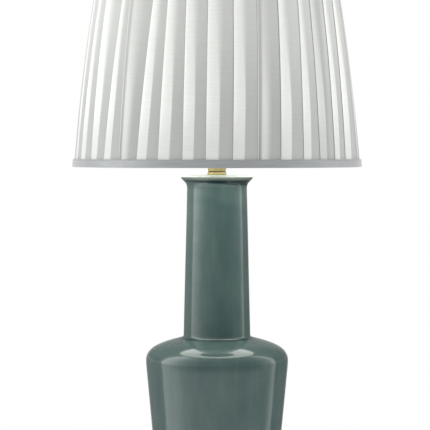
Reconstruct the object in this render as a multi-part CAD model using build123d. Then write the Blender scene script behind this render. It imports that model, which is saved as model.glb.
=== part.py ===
"""Table lamp: a glazed bottle-shaped vase with a knife-pleated shade on a harp.

Millimetres. +Z is up, the origin is at the centre of the underside of the felt,
and the front of the lamp faces -Y. The harp's legs stand left and right on X, the
switch knob points forward along -Y and the cord hole is at the back on +Y.
"""

from build123d import *
import os
from math import atan, cos, degrees, pi, radians, sin, tan

# ---------------------------------------------------------------- driving sizes

# Vase
BODY_H = 203.0  # foot to the root of the neck
NECK_H = 226.5  # root of the neck to the mouth
BODY_R = 99.9  # widest, at the belly
BELLY_DROP = 32.6  # from the root of the neck down to the widest place
FOOT_R = 84.7
NECK_ROOT_R = 46.9
NECK_TOP_R = 42.2
LIP_R = 50.7
LIP_H = 12.5  # height of the flare under the mouth
WALL = 6.0
FLOOR_T = 8.0
CROWN_T = 7.0  # closed top of the neck
CROWN_DISH = 0.8  # how far the top lies below the rim
RECESS_H = 24.0  # hollow under the foot, for the clamping nut and the cord
FOOT_RING_W = 12.0
FOOT_ROUND = 3.0
SHOULDER_PITCH = 14.0  # slope of the shoulder where it leaves the neck, degrees
CORD_HOLE_H = 14.0  # above the table
CORD_BORE = 8.0
BUSHING_WALL = 1.4
BUSHING_LIP, BUSHING_FLANGE_T = 2.0, 1.6
BUSHING_GAP = 0.1

# Base hardware
FELT_T = 2.0
FELT_INSET = 4.0
GASKET_R, GASKET_T = 22.0, 1.6
PLATE_R, PLATE_T = 25.0, 1.5
LOCK_WASHER_R, LOCK_WASHER_T = 9.0, 1.0
NUT_ACROSS, NUT_T = 16.0, 3.2

# Lamp pipe, 1/8 in. running thread
PIPE_R = 5.15
PIPE_BORE_R = 3.25
THREAD_GAP = 0.05
HOLE_GAP = 0.35  # between the pipe and a plain hole for it
PIPE_TAIL = 0.6  # stands out under the nut

# Brass neck between vase and socket
TUBE_R = 13.2
BEAD_R = 14.3
BEAD_H = 4.2
TUBE_H = 20.0
TUBE_WALL = 1.2

# Harp and its saddle
HARP_H = 279.0  # an 11 in. harp, saddle to stud seat
HARP_HALF_W = 55.0
HARP_FOOT_X = 28.0
HARP_WIRE_R = 1.6
SADDLE_W, SADDLE_T = 10.0, 1.6
SADDLE_RIM = 4.5  # width of the round pad about the pipe hole
EAR_H = 4.5
LAP_H = 7.0  # half-lap of leg and tongue inside the ferrule
LAP_GAP = 0.05
FERRULE_R, FERRULE_H = 2.9, 13.0
FERRULE_BEAD = 0.5
FERRULE_GAP = 0.15
FERRULE_TRAVEL = 20.0
STUD_R = 3.1  # 1/4-27 thread
STUD_H = 14.0
STUD_SEAT_R, STUD_SEAT_T = 7.0, 2.4
YOKE_R, YOKE_H = 5.6, 9.0
PIVOT_R = 2.0

# Socket, medium screw
BASE_R = 13.1  # screw cap of the bulb
SOCKET_ROOM = 4.7  # from the bulb's screw cap to the outside of the socket
SOCKET_SHEET = 0.7
SHEET_GAP = 0.1  # between shells that push into each other
CAP_H = 21.0
CAP_NECK_R, CAP_NECK_H = 7.4, 8.0
CAP_RIM_H = 7.0  # straight rim round the shell
CAP_FLOOR_T = 1.6
SHELL_H = 43.0
SHELL_PUSH = 5.0  # how far the shell goes into the cap
SHELL_ROLL, SHELL_ROLL_H = 1.2, 2.0  # rolled edge at the mouth
LINER_T = 0.6
INTERIOR_UP = 17.0  # underside of the moulded block above the saddle
INTERIOR_H = 18.0
FLAT_X = 12.4  # flats that carry the terminal screws
TERMINAL_UP = 7.0
SCREW_HEAD_R, SCREW_HEAD_T, SCREW_R, SCREW_L = 2.6, 1.5, 1.6, 5.0
SCREW_SHELL_T, SCREW_SHELL_SEAT_R = 0.5, 7.0
SET_SCREW_R, SET_SCREW_UP, SET_SCREW_OUT = 1.5, 4.0, 2.4
SET_HEAD_R, SET_HEAD_T = 2.3, 1.6
DRIVER_SLOT = 0.7
RIVET_R, RIVET_DEEP = 1.5, 2.0
LEAF_R, LEAF_T, LEAF_RISE = 4.5, 0.6, 3.2
RUN_GAP = 0.3  # between pieces that turn or slide past each other
SWITCH_H = 27.0  # switch axis above the saddle
SHAFT_R = 2.4
SHAFT_ROOM = 4.8  # how much wider than the shaft its slot in the shell is
ROTOR_R, ROTOR_L, ROTOR_BACK = 6.0, 9.0, 3.0
KNOB_R, KNOB_L = 5.5, 13.0
KNOB_REACH = 36.0  # outer end of the knob from the lamp's axis
KNOB_ROUND = 1.2
FLUTES, FLUTE_R, FLUTE_STOP = 16, 0.5, 2.5

# Bulb
BULB_R = 30.0
BULB_H = 108.0
BULB_GLASS = 1.0
BULB_NECK_H = 10.0  # straight neck, most of it inside the cap
BULB_IN_CAP = 8.0
TIP_R, TIP_H, TIP_ROUND = 3.5, 1.0, 0.5
INSULATOR_LOW_R, INSULATOR_TOP_R, INSULATOR_H = 5.0, 9.5, 2.5
BULB_CAP_H, BULB_CAP_T = 22.0, 0.5
CAP_FOOT_R, CAP_FOOT_BORE, CAP_TAPER = 9.6, 4.0, 2.5

# Shade
SHADE_BOTTOM_R = 200.5  # over the folds
SHADE_TOP_R = 161.5
SHADE_H = 298.0
SHADE_BOW = 3.9  # bulge of the side beyond a straight cone, at mid height
SHADE_GAP = 13.0  # mouth of the vase to the bottom edge of the shade
PLEATS = 36
PLEAT_RISE = 2.2
PLEAT_DOUBLE = 0.47  # share of the pitch that is folded three deep
PLEAT_UNDER = 0.97  # share of the pitch where it goes under the next fold
PLEAT_PHASE = -3.7  # angle of one fold from the front, degrees
COVER_T = 0.8
LINING_T = 0.6
RING_WIRE_R = 2.0
STRUT_R = 1.5
STRUTS = 6
TRIM_H = 11.0
TRIM_T = 2.4
TRIM_WEB = 1.0
TRIM_INNER_H = 8.0
TRIM_INNER_T = 0.8
TRIM_ROUND = 0.8
CLOTH_GAP = 0.1
SPIDER_ARMS = 3
LEVELS = 4  # bands in which the side of the shade is built up
ARM_R = 1.8
ARM_BEND = 22.0
HUB_R, HUB_T, HUB_ROUND = 12.0, 1.5, 0.4
HUB_GAP = 0.4  # between the stud and the hole in the hub
FINIAL_H = 30.0
FINIAL_BALL_R = 9.0
FINIAL_FOOT_R, FINIAL_FOOT_H = 8.0, 2.0
FINIAL_WAIST_R = 4.2
FINIAL_BORE_GAP = 0.2

# ------------------------------------------------------------- derived heights

SOCKET_R = BASE_R + SOCKET_ROOM
FOOT_Z = FELT_T
ROOT_Z = FOOT_Z + BODY_H
MOUTH_Z = ROOT_Z + NECK_H
CROWN_Z = MOUTH_Z - CROWN_DISH
BELLY_Z = ROOT_Z - BELLY_DROP
RECESS_Z = FOOT_Z + RECESS_H
FLOOR_Z = RECESS_Z + FLOOR_T
SADDLE_Z = CROWN_Z + TUBE_H
SOCKET_Z = SADDLE_Z + SADDLE_T
EAR_Z = SOCKET_Z + EAR_H
LAP_Z = EAR_Z + FERRULE_H - LAP_H - 2.0
SEAT_Z = SADDLE_Z + HARP_H
HUB_Z = SEAT_Z + STUD_SEAT_T
YOKE_Z = SEAT_Z - YOKE_H
HARP_TOP_Z = YOKE_Z + YOKE_H / 2
SHADE_Z = MOUTH_Z + SHADE_GAP
SHADE_TOP_Z = SHADE_Z + SHADE_H
SWITCH_Z = SOCKET_Z + SWITCH_H
PIPE_HOLE_R = PIPE_R + HOLE_GAP
PIPE_FOOT_Z = RECESS_Z - GASKET_T - PLATE_T - LOCK_WASHER_T - NUT_T - PIPE_TAIL
PIPE_TOP_Z = SOCKET_Z + CAP_NECK_H + 0.5
SHELL_Z = SOCKET_Z + CAP_H - SHELL_PUSH
SHELL_TOP_Z = SHELL_Z + SHELL_H
INTERIOR_Z = SOCKET_Z + INTERIOR_UP
INTERIOR_TOP_Z = INTERIOR_Z + INTERIOR_H
TERMINAL_Z = INTERIOR_Z + TERMINAL_UP
SET_SCREW_Z = SOCKET_Z + SET_SCREW_UP
CONTACT_TOP_Z = INTERIOR_TOP_Z + LEAF_RISE
TIP_Z = CONTACT_TOP_Z + RUN_GAP
INSULATOR_Z = TIP_Z + TIP_H
BULB_CAP_Z = INSULATOR_Z + INSULATOR_H
COVER_LOW = SHADE_Z + TRIM_WEB
COVER_HIGH = SHADE_TOP_Z - TRIM_WEB
RING_LOW_Z = COVER_LOW + RING_WIRE_R + CLOTH_GAP
RING_HIGH_Z = COVER_HIGH - RING_WIRE_R - CLOTH_GAP

# --------------------------------------------------------------- derived radii

BUSHING_R = CORD_BORE / 2 + BUSHING_WALL
BUSHING_FLANGE_R = BUSHING_R + BUSHING_LIP
SHELL_R = SOCKET_R - SOCKET_SHEET - SHEET_GAP
LINER_R = SHELL_R - SOCKET_SHEET - SHEET_GAP
INTERIOR_R = LINER_R - LINER_T - 2 * SHEET_GAP
SCREW_SHELL_R = BASE_R + RUN_GAP
BULB_NECK_R = BASE_R - BULB_CAP_T - SHEET_GAP
FRAME_INSET = PLEAT_RISE + COVER_T  # from the folds to the inside of the cover
LINING_INSET = FRAME_INSET + 2 * RING_WIRE_R + 4 * CLOTH_GAP
WALL_SLOPE = atan((BODY_R - FOOT_R) / (BELLY_Z - FOOT_Z))
ARM_TURNS = [90 + 360 / SPIDER_ARMS * n for n in range(SPIDER_ARMS)]

# --------------------------------------------------------------------- helpers


def turned(*edges):
    """Solid of revolution about Z from a closed outline of (radius, height)."""
    return revolve(Plane.XZ * make_face([*edges]), Axis.Z)


def turned_polygon(*points):
    return turned(Polyline(*points, close=True))


def ring(outer, inner, low, high):
    """Plain ring or tube between two heights."""
    return turned_polygon((inner, low), (outer, low), (outer, high), (inner, high))


def disc(radius, low, high):
    return Pos(0, 0, low) * Cylinder(radius, high - low, align=STANDING)


def rod(radius, start, end):
    """Round rod between two points."""
    run = Vector(*end) - Vector(*start)
    return Plane(origin=start, z_dir=run) * Cylinder(radius, run.length, align=STANDING)


def save(shape, name):
    """Write one piece, or one group of alike pieces, as its own file."""
    shape.label = name
    export_step(shape, f"parts/{name}.step")


STANDING = (Align.CENTER, Align.CENTER, Align.MIN)

# ------------------------------------------------------------------------ vase


def vase_side(inset):
    """Side of the vase from foot to lip, moved inwards by the inset."""
    foot = (FOOT_R - inset, FOOT_Z + FOOT_ROUND)
    belly = (BODY_R - inset, BELLY_Z)
    belly_low = (belly[0] - 0.4, BELLY_Z - 9.0)
    pitch = radians(SHOULDER_PITCH)
    root = (NECK_ROOT_R - inset, ROOT_Z + 3.5)
    shoulder = (NECK_ROOT_R + 4.1 - inset, ROOT_Z - 0.95 - inset)
    reach = 0.68 * (belly[0] - shoulder[0])
    rise = 0.53 * (shoulder[1] - belly[1])
    leave = (shoulder[0] + reach * cos(pitch), shoulder[1] - reach * sin(pitch))
    neck_top = (NECK_TOP_R - inset, MOUTH_Z - LIP_H - 5.0)
    return [
        Line(foot, belly_low),
        Bezier(belly_low, (belly[0], BELLY_Z - 4.5), belly),
        Bezier(belly, (belly[0], BELLY_Z + rise), leave, shoulder),
        Bezier(shoulder, (NECK_ROOT_R - inset, ROOT_Z - inset), root),
        Line(root, neck_top),
    ]


def vase_outside():
    side = vase_side(0.0)
    neck_top = side[-1] @ 1
    flare = (NECK_TOP_R + 2.1, MOUTH_Z - LIP_H + 3.3)
    edge = (LIP_R - 1.6, MOUTH_Z - 3.7)
    rim = (LIP_R, MOUTH_Z - 1.4)
    crest = (LIP_R - 2.0, MOUTH_Z)
    dish = (LIP_R - 7.0, CROWN_Z)
    return turned(
        Line((0, FOOT_Z), (FOOT_R - FOOT_ROUND, FOOT_Z)),
        Bezier((FOOT_R - FOOT_ROUND, FOOT_Z), (FOOT_R, FOOT_Z), side[0] @ 0),
        *side,
        Bezier(neck_top, (NECK_TOP_R, MOUTH_Z - LIP_H), flare),
        Line(flare, edge),
        Bezier(edge, (LIP_R, MOUTH_Z - 2.4), rim),
        Bezier(rim, (LIP_R, MOUTH_Z), crest),
        Bezier(crest, (LIP_R - 5.0, MOUTH_Z), dish),
        Line(dish, (0, CROWN_Z)),
        Line((0, CROWN_Z), (0, FOOT_Z)),
    )


def vase_hollow():
    side = vase_side(WALL)
    low = side[0] @ 0
    high = side[-1] @ 1
    corner = (low.X + (FLOOR_Z - low.Y) * tan(WALL_SLOPE), FLOOR_Z)
    top = CROWN_Z - CROWN_T
    return turned(
        Line((0, FLOOR_Z), corner),
        Line(corner, side[0] @ 1),
        *side[1:],
        Line(high, (high.X, top)),
        Line((high.X, top), (0, top)),
        Line((0, top), (0, FLOOR_Z)),
    )


def cord_hole_plane():
    """Plane on the outside of the wall at the back, its Z axis pointing out."""
    side = vase_side(0.0)[0]
    low, high = side @ 0, side @ 1
    share = (CORD_HOLE_H - low.Y) / (high.Y - low.Y)
    radius = low.X + share * (high.X - low.X)
    lean = atan((high.X - low.X) / (high.Y - low.Y))
    return Plane(origin=(0, radius, CORD_HOLE_H), z_dir=(0, cos(lean), -sin(lean)))


def vase_body():
    body = vase_outside() - vase_hollow()
    body -= disc(FOOT_R - FOOT_RING_W, FOOT_Z, RECESS_Z)
    body -= disc(PIPE_HOLE_R, FOOT_Z, MOUTH_Z)
    hole = Cylinder(BUSHING_R + BUSHING_GAP, 4 * FOOT_RING_W)
    return body - cord_hole_plane() * hole


def cord_bushing():
    """Flanged sleeve that keeps the glazed edge of the hole off the cord."""
    inwards = (Align.CENTER, Align.CENTER, Align.MAX)
    sleeve = Cylinder(BUSHING_R, FOOT_RING_W + 3.0, align=inwards)
    flange = Cylinder(BUSHING_FLANGE_R, BUSHING_FLANGE_T, align=STANDING)
    flange = fillet(flange.edges().group_by(Axis.Z)[-1], 0.7)
    bore = Cylinder(CORD_BORE / 2, 4 * FOOT_RING_W)
    return cord_hole_plane() * (sleeve + flange - bore)


# -------------------------------------------------------------- base and pipe


def base_felt():
    return disc(FOOT_R - FELT_INSET, 0, FELT_T)


def lamp_pipe():
    return ring(PIPE_R, PIPE_BORE_R, PIPE_FOOT_Z, PIPE_TOP_Z)


def base_stack():
    """Washers and nut that pull the vase together from below, top to bottom."""
    top = RECESS_Z
    gasket = ring(GASKET_R, PIPE_HOLE_R, top - GASKET_T, top)
    top -= GASKET_T
    plate = ring(PLATE_R, PIPE_HOLE_R, top - PLATE_T, top)
    top -= PLATE_T
    lock = ring(LOCK_WASHER_R, PIPE_R + THREAD_GAP, top - LOCK_WASHER_T, top)
    lock -= Pos(LOCK_WASHER_R, 0, top) * Box(LOCK_WASHER_R * 2, 0.8, 4 * LOCK_WASHER_T)
    top -= LOCK_WASHER_T
    corner_r = NUT_ACROSS / 2 / cos(pi / 6)
    nut = Pos(0, 0, top - NUT_T) * extrude(RegularPolygon(corner_r, 6), NUT_T)
    nut -= disc(PIPE_R + THREAD_GAP, top - 2 * NUT_T, top)
    return {"base_gasket": gasket, "base_plate": plate, "lock_washer": lock, "pipe_nut": nut}


def brass_neck():
    """Tube with a rolled bead at its foot and an inner shelf on top."""
    bead_top = CROWN_Z + BEAD_H
    top = SADDLE_Z
    inner = TUBE_R - TUBE_WALL
    hole = PIPE_HOLE_R
    return turned(
        Line((inner, CROWN_Z), (TUBE_R, CROWN_Z)),
        Bezier((TUBE_R, CROWN_Z), (BEAD_R, CROWN_Z), (BEAD_R, CROWN_Z + BEAD_H * 0.45)),
        Bezier((BEAD_R, CROWN_Z + BEAD_H * 0.45), (BEAD_R, bead_top), (TUBE_R, bead_top + 1.0)),
        Line((TUBE_R, bead_top + 1.0), (TUBE_R, top)),
        Line((TUBE_R, top), (hole, top)),
        Line((hole, top), (hole, top - TUBE_WALL)),
        Line((hole, top - TUBE_WALL), (inner, top - TUBE_WALL)),
        Line((inner, top - TUBE_WALL), (inner, CROWN_Z)),
    )


# ------------------------------------------------------------------------ harp


def harp_saddle():
    """Bent strip under the socket, with a tongue for each leg of the harp."""
    outer = HARP_FOOT_X + SADDLE_T / 2
    saddle = Pos(0, 0, SADDLE_Z) * Box(2 * outer, SADDLE_W, SADDLE_T, align=STANDING)
    for side in (-1, 1):
        ear = Box(SADDLE_T, SADDLE_W, EAR_Z - SADDLE_Z, align=STANDING)
        saddle += Pos(side * HARP_FOOT_X, 0, SADDLE_Z) * ear
    outer_bends = saddle.edges().filter_by(Axis.Y).group_by(Axis.Z)[0]
    saddle = fillet(outer_bends, SADDLE_T * 0.9)
    saddle += disc(PIPE_HOLE_R + SADDLE_RIM, SADDLE_Z, SOCKET_Z)
    for side in (-1, 1):
        x = side * HARP_FOOT_X
        tongue = rod(HARP_WIRE_R, (x, 0, SOCKET_Z + SADDLE_T), (x, 0, LAP_Z + LAP_H))
        saddle += tongue - lap_block(side, -1)
    return saddle - disc(PIPE_HOLE_R, SADDLE_Z, SOCKET_Z)


def lap_block(side, facing):
    """What the half-lap cuts away: the tongue keeps its outer half, the leg its inner."""
    start = HARP_FOOT_X - facing * LAP_GAP / 2
    width = 3 * HARP_WIRE_R
    high = LAP_H + LAP_GAP
    block = Box(width, 4 * HARP_WIRE_R, high, align=STANDING)
    return Pos(side * (start + facing * width / 2), 0, LAP_Z) * block


def harp_wire():
    foot = LAP_Z + LAP_GAP
    straight = EAR_Z + FERRULE_H + FERRULE_TRAVEL + 4.0
    swell = straight + 48.0
    half = [
        (HARP_FOOT_X, 0, foot),
        (HARP_FOOT_X, 0, straight),
        (HARP_HALF_W, 0, swell),
        (HARP_HALF_W * 0.86, 0, HARP_TOP_Z),
    ]
    points = half + [(-x, y, z) for x, y, z in reversed(half)]
    path = FilletPolyline(*points, radius=[24, 40, 38, 38, 40, 24])
    section = Plane(origin=path @ 0, z_dir=path % 0) * Circle(HARP_WIRE_R)
    wire = sweep(section, path)
    for side in (-1, 1):
        wire -= lap_block(side, 1)
    return wire


def ferrule(side):
    """Loose sleeve that locks a leg of the harp to the tongue of the saddle."""
    bore = HARP_WIRE_R + FERRULE_GAP
    top = EAR_Z + FERRULE_H
    bead = FERRULE_R + FERRULE_BEAD
    sleeve = turned_polygon(
        (bore, EAR_Z),
        (FERRULE_R, EAR_Z),
        (FERRULE_R, top - 2.0),
        (bead, top - 1.4),
        (bead, top - 0.4),
        (FERRULE_R, top),
        (bore, top),
    )
    return Pos(side * HARP_FOOT_X, 0, 0) * sleeve


def harp_yoke():
    """Brass block gripping the top of the harp, bored for the swivel stud."""
    yoke = disc(YOKE_R, YOKE_Z, SEAT_Z)
    yoke = fillet(yoke.edges().group_by(Axis.Z)[0], 1.2)
    yoke -= rod(HARP_WIRE_R, (-2 * YOKE_R, 0, HARP_TOP_Z), (2 * YOKE_R, 0, HARP_TOP_Z))
    return yoke - disc(PIVOT_R + THREAD_GAP, HARP_TOP_Z + HARP_WIRE_R + 0.2, SEAT_Z)


def harp_stud():
    """Swivel stud: pivot in the yoke, flanged seat for the shade, threaded end."""
    pivot = disc(PIVOT_R, HARP_TOP_Z + HARP_WIRE_R + 0.5, SEAT_Z)
    seat = disc(STUD_SEAT_R, SEAT_Z, HUB_Z)
    seat = fillet(seat.edges().group_by(Axis.Z)[0], 0.6)
    thread = disc(STUD_R, HUB_Z, HUB_Z + STUD_H)
    thread = chamfer(thread.edges().group_by(Axis.Z)[-1], 0.8)
    return pivot + seat + thread


# ---------------------------------------------------------------------- socket


def socket_cap():
    """Cup with a narrow neck that screws on the pipe; the shell pushes into its rim."""
    inside = SOCKET_R - SOCKET_SHEET
    bore = PIPE_R + THREAD_GAP
    rim = SOCKET_Z + CAP_H
    neck_top = SOCKET_Z + CAP_NECK_H
    floor = neck_top + CAP_FLOOR_T
    cheek = rim - CAP_RIM_H
    outer_neck, outer_rim = (CAP_NECK_R, neck_top), (SOCKET_R, cheek)
    inner_rim, inner_neck = (inside, cheek + 0.4), (CAP_NECK_R, floor)
    cap = turned(
        Line((bore, SOCKET_Z), (CAP_NECK_R, SOCKET_Z)),
        Line((CAP_NECK_R, SOCKET_Z), outer_neck),
        Bezier(outer_neck, (SOCKET_R - 1.0, neck_top + 0.6), outer_rim),
        Line(outer_rim, (SOCKET_R, rim)),
        Line((SOCKET_R, rim), (inside, rim)),
        Line((inside, rim), inner_rim),
        Bezier(inner_rim, (inside - 1.6, floor), inner_neck),
        Line(inner_neck, (bore, floor)),
        Line((bore, floor), (bore, SOCKET_Z)),
    )
    hole = rod(SET_SCREW_R + THREAD_GAP, (0, bore - 1, SET_SCREW_Z), (0, SOCKET_R, SET_SCREW_Z))
    return cap - hole


def cap_set_screw():
    """Small screw at the back of the cap's neck that stops it turning on the pipe."""
    end = CAP_NECK_R + SET_SCREW_OUT
    screw = rod(SET_SCREW_R, (0, PIPE_R + THREAD_GAP, SET_SCREW_Z), (0, end, SET_SCREW_Z))
    head = rod(SET_HEAD_R, (0, end - SET_HEAD_T, SET_SCREW_Z), (0, end, SET_SCREW_Z))
    slot = Pos(0, end, SET_SCREW_Z) * Box(4 * SET_SCREW_R, 1.2, DRIVER_SLOT)
    return screw + head - slot


def switch_slot(width):
    """Slot through the shell and liner for the switch shaft, open at the bottom."""
    low = INTERIOR_Z - CAP_H
    slot = Pos(0, -SOCKET_R, low) * Box(width, SOCKET_R, SWITCH_Z - low, align=STANDING)
    return slot + rod(width / 2, (0, -1.5 * SOCKET_R, SWITCH_Z), (0, -SOCKET_R / 2, SWITCH_Z))


def socket_shell():
    """Drawn shell with a rolled edge at its mouth."""
    inside = SHELL_R - SOCKET_SHEET
    roll = SHELL_TOP_Z - SHELL_ROLL_H
    swell = (SHELL_R + SHELL_ROLL, SHELL_TOP_Z - SHELL_ROLL_H / 2)
    shell = turned(
        Line((inside, SHELL_Z), (SHELL_R, SHELL_Z)),
        Line((SHELL_R, SHELL_Z), (SHELL_R, roll)),
        Bezier((SHELL_R, roll), swell, (SHELL_R, SHELL_TOP_Z)),
        Line((SHELL_R, SHELL_TOP_Z), (inside, SHELL_TOP_Z)),
        Line((inside, SHELL_TOP_Z), (inside, SHELL_Z)),
    )
    return shell - switch_slot(2 * SHAFT_R + SHAFT_ROOM)


def shell_liner():
    """Card sleeve that keeps the live parts off the shell."""
    liner = ring(LINER_R, LINER_R - LINER_T, SHELL_Z + 0.5, SHELL_TOP_Z - 1.0)
    return liner - switch_slot(2 * SHAFT_R + SHAFT_ROOM - 1.0)


def socket_interior():
    """Moulded block that holds the switch, the contact and the screw shell."""
    block = disc(INTERIOR_R, INTERIOR_Z, INTERIOR_TOP_Z)
    block &= Pos(0, 0, INTERIOR_Z) * Box(2 * FLAT_X, 4 * SOCKET_R, INTERIOR_H, align=STANDING)
    back, front = -ROTOR_BACK + RUN_GAP, -ROTOR_BACK - ROTOR_L - RUN_GAP
    block -= rod(ROTOR_R + RUN_GAP, (0, back, SWITCH_Z), (0, front, SWITCH_Z))
    block -= rod(SHAFT_R + THREAD_GAP, (0, front, SWITCH_Z), (0, -SOCKET_R, SWITCH_Z))
    for side in (-1, 1):
        tip = (side * (FLAT_X - SCREW_L), 0, TERMINAL_Z)
        block -= rod(SCREW_R + THREAD_GAP, tip, (side * 2 * FLAT_X, 0, TERMINAL_Z))
    return block - disc(RIVET_R + THREAD_GAP, INTERIOR_TOP_Z - RIVET_DEEP, INTERIOR_TOP_Z)


def terminal_screws():
    """Binding screws for the two wires, on the flats of the block."""
    screws = []
    for side in (-1, 1):
        tip = (side * (FLAT_X - SCREW_L), 0, TERMINAL_Z)
        seat = (side * FLAT_X, 0, TERMINAL_Z)
        end = (side * (FLAT_X + SCREW_HEAD_T), 0, TERMINAL_Z)
        slot = Pos(*end) * Box(1.0, 6.0, DRIVER_SLOT)
        screws.append(rod(SCREW_R, tip, seat) + rod(SCREW_HEAD_R, seat, end) - slot)
    return Compound(children=screws)


def screw_shell():
    """Cup that the bulb screws into."""
    low, high = INTERIOR_TOP_Z, SHELL_TOP_Z - 3.0
    outer = SCREW_SHELL_R + SCREW_SHELL_T
    return turned_polygon(
        (SCREW_SHELL_SEAT_R, low),
        (outer, low),
        (outer, high),
        (SCREW_SHELL_R, high),
        (SCREW_SHELL_R, low + SCREW_SHELL_T),
        (SCREW_SHELL_SEAT_R, low + SCREW_SHELL_T),
    )


def centre_contact():
    """Spring contact riveted to the block in the middle of the screw shell."""
    low, leaf = INTERIOR_TOP_Z, INTERIOR_TOP_Z + LEAF_T
    foot = low - RIVET_DEEP
    return turned(
        Polyline((0, foot), (RIVET_R, foot), (RIVET_R, low), (LEAF_R, low), (LEAF_R, leaf)),
        Bezier((LEAF_R, leaf), (2.0, low + 0.8), (1.6, CONTACT_TOP_Z), (0, CONTACT_TOP_Z)),
        Line((0, CONTACT_TOP_Z), (0, foot)),
    )


def switch_shaft():
    """Round shaft from the rotor out to the middle of the knob."""
    start = -ROTOR_BACK - ROTOR_L
    return rod(SHAFT_R, (0, start, SWITCH_Z), (0, -KNOB_REACH + KNOB_L / 2, SWITCH_Z))


def switch_rotor():
    """Drum of the rotary switch inside the moulded block."""
    return rod(ROTOR_R, (0, -ROTOR_BACK - ROTOR_L, SWITCH_Z), (0, -ROTOR_BACK, SWITCH_Z))


def switch_knob():
    """Fluted knob pressed on the shaft."""
    inner, outer = -KNOB_REACH + KNOB_L, -KNOB_REACH
    knob = rod(KNOB_R, (0, inner, SWITCH_Z), (0, outer, SWITCH_Z))
    knob = fillet(knob.edges().filter_by(GeomType.CIRCLE).group_by(Axis.Y)[0], KNOB_ROUND)
    for n in range(FLUTES):
        turn = 2 * pi * n / FLUTES
        x, z = KNOB_R * cos(turn), SWITCH_Z + KNOB_R * sin(turn)
        knob -= rod(FLUTE_R, (x, inner + 1, z), (x, outer + FLUTE_STOP, z))
    return knob - rod(SHAFT_R, (0, 0, SWITCH_Z), (0, -KNOB_REACH + KNOB_L / 2, SWITCH_Z))


# ------------------------------------------------------------------------ bulb


def bulb_contact():
    return fillet(disc(TIP_R, TIP_Z, INSULATOR_Z).edges().group_by(Axis.Z)[0], TIP_ROUND)


def bulb_insulator():
    return turned_polygon(
        (0, INSULATOR_Z),
        (INSULATOR_LOW_R, INSULATOR_Z),
        (INSULATOR_TOP_R, BULB_CAP_Z),
        (0, BULB_CAP_Z),
    )


def bulb_cap():
    """Screw cap: a tapered foot, then the threaded wall at the thread's outer size."""
    low, high = BULB_CAP_Z, BULB_CAP_Z + BULB_CAP_H
    inside = BASE_R - BULB_CAP_T
    return turned_polygon(
        (CAP_FOOT_BORE, low),
        (CAP_FOOT_R, low),
        (BASE_R, low + CAP_TAPER),
        (BASE_R, high),
        (inside, high),
        (inside, low + CAP_TAPER + BULB_CAP_T),
        (CAP_FOOT_R - 0.3, low + BULB_CAP_T + 0.1),
        (CAP_FOOT_BORE, low + BULB_CAP_T + 0.1),
    )


def bulb_side(inset):
    """Outline of the glass from its neck to its crown, moved inwards by the inset."""
    neck_low = BULB_CAP_Z + BULB_CAP_H - BULB_IN_CAP
    neck_high = neck_low + BULB_NECK_H
    waist_z = TIP_Z + BULB_H - BULB_R
    neck = BULB_NECK_R - inset
    belly = BULB_R - inset
    crown = TIP_Z + BULB_H - inset
    return [
        Line((neck, neck_low), (neck, neck_high)),
        Bezier((neck, neck_high), (neck, neck_high + 20), (belly, waist_z - 26), (belly, waist_z)),
        ThreePointArc(
            (belly, waist_z),
            (belly * cos(pi / 4), waist_z + belly * sin(pi / 4)),
            (0, crown),
        ),
    ]


def bulb_glass():
    outside, inside = bulb_side(0.0), bulb_side(BULB_GLASS)
    return turned(
        *outside,
        Line(outside[-1] @ 1, inside[-1] @ 1),
        *inside,
        Line(inside[0] @ 0, outside[0] @ 0),
    )


# ----------------------------------------------------------------------- shade


def shade_radius(height):
    """Radius over the folds at a height above the table: a cone with a slight bow."""
    share = (height - SHADE_Z) / SHADE_H
    straight = SHADE_BOTTOM_R + share * (SHADE_TOP_R - SHADE_BOTTOM_R)
    return straight + 4 * SHADE_BOW * share * (1 - share)


def frame_radius(height):
    """Inside of the cover, where the wires of the frame lie."""
    return shade_radius(height) - PLEAT_RISE - COVER_T - CLOTH_GAP


def shade_levels(low, high):
    return [low + (high - low) * n / LEVELS for n in range(LEVELS + 1)]


def polar(radius, angle):
    turn = radians(angle)
    return (radius * cos(turn), radius * sin(turn))


def fold_turns():
    """Where each pleat starts, where its three layers end and where it goes under."""
    pitch = 360 / PLEATS
    folds = [PLEAT_PHASE - 90 + n * pitch for n in range(PLEATS)]
    return [(fold, fold + PLEAT_DOUBLE * pitch, fold + PLEAT_UNDER * pitch) for fold in folds]


def pleated_outline(height):
    """Knife pleats: a sharp fold on the left, three layers, then one layer."""
    radius = shade_radius(height)
    drops = (0.0, 0.35 * PLEAT_RISE, PLEAT_RISE)
    points = [polar(radius - drop, turn) for turns in fold_turns() for turn, drop in zip(turns, drops)]
    return Pos(0, 0, height) * make_face(Polyline(*points, close=True))


def backed_outline(height):
    """Inside of the cover: flats between the pleats' turns, clear of the frame."""
    widest = radians(360 / PLEATS) * max(PLEAT_DOUBLE, PLEAT_UNDER - PLEAT_DOUBLE)
    radius = (shade_radius(height) - FRAME_INSET) / cos(widest / 2)
    points = [polar(radius, turn) for turns in fold_turns() for turn in turns]
    return Pos(0, 0, height) * make_face(Polyline(*points, close=True))


def side_band(outer_inset, thickness, low, high):
    """Thin wall that follows the side of the shade, set in from the folds."""
    levels = shade_levels(low, high)
    outside = [(shade_radius(z) - outer_inset, z) for z in levels]
    inside = [(shade_radius(z) - outer_inset - thickness, z) for z in levels]
    return turned_polygon(*outside, *reversed(inside))


def shade_cover():
    levels = shade_levels(COVER_LOW, COVER_HIGH)
    folds = loft([pleated_outline(z) for z in levels], ruled=True)
    return folds - loft([backed_outline(z) for z in levels], ruled=True)


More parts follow.
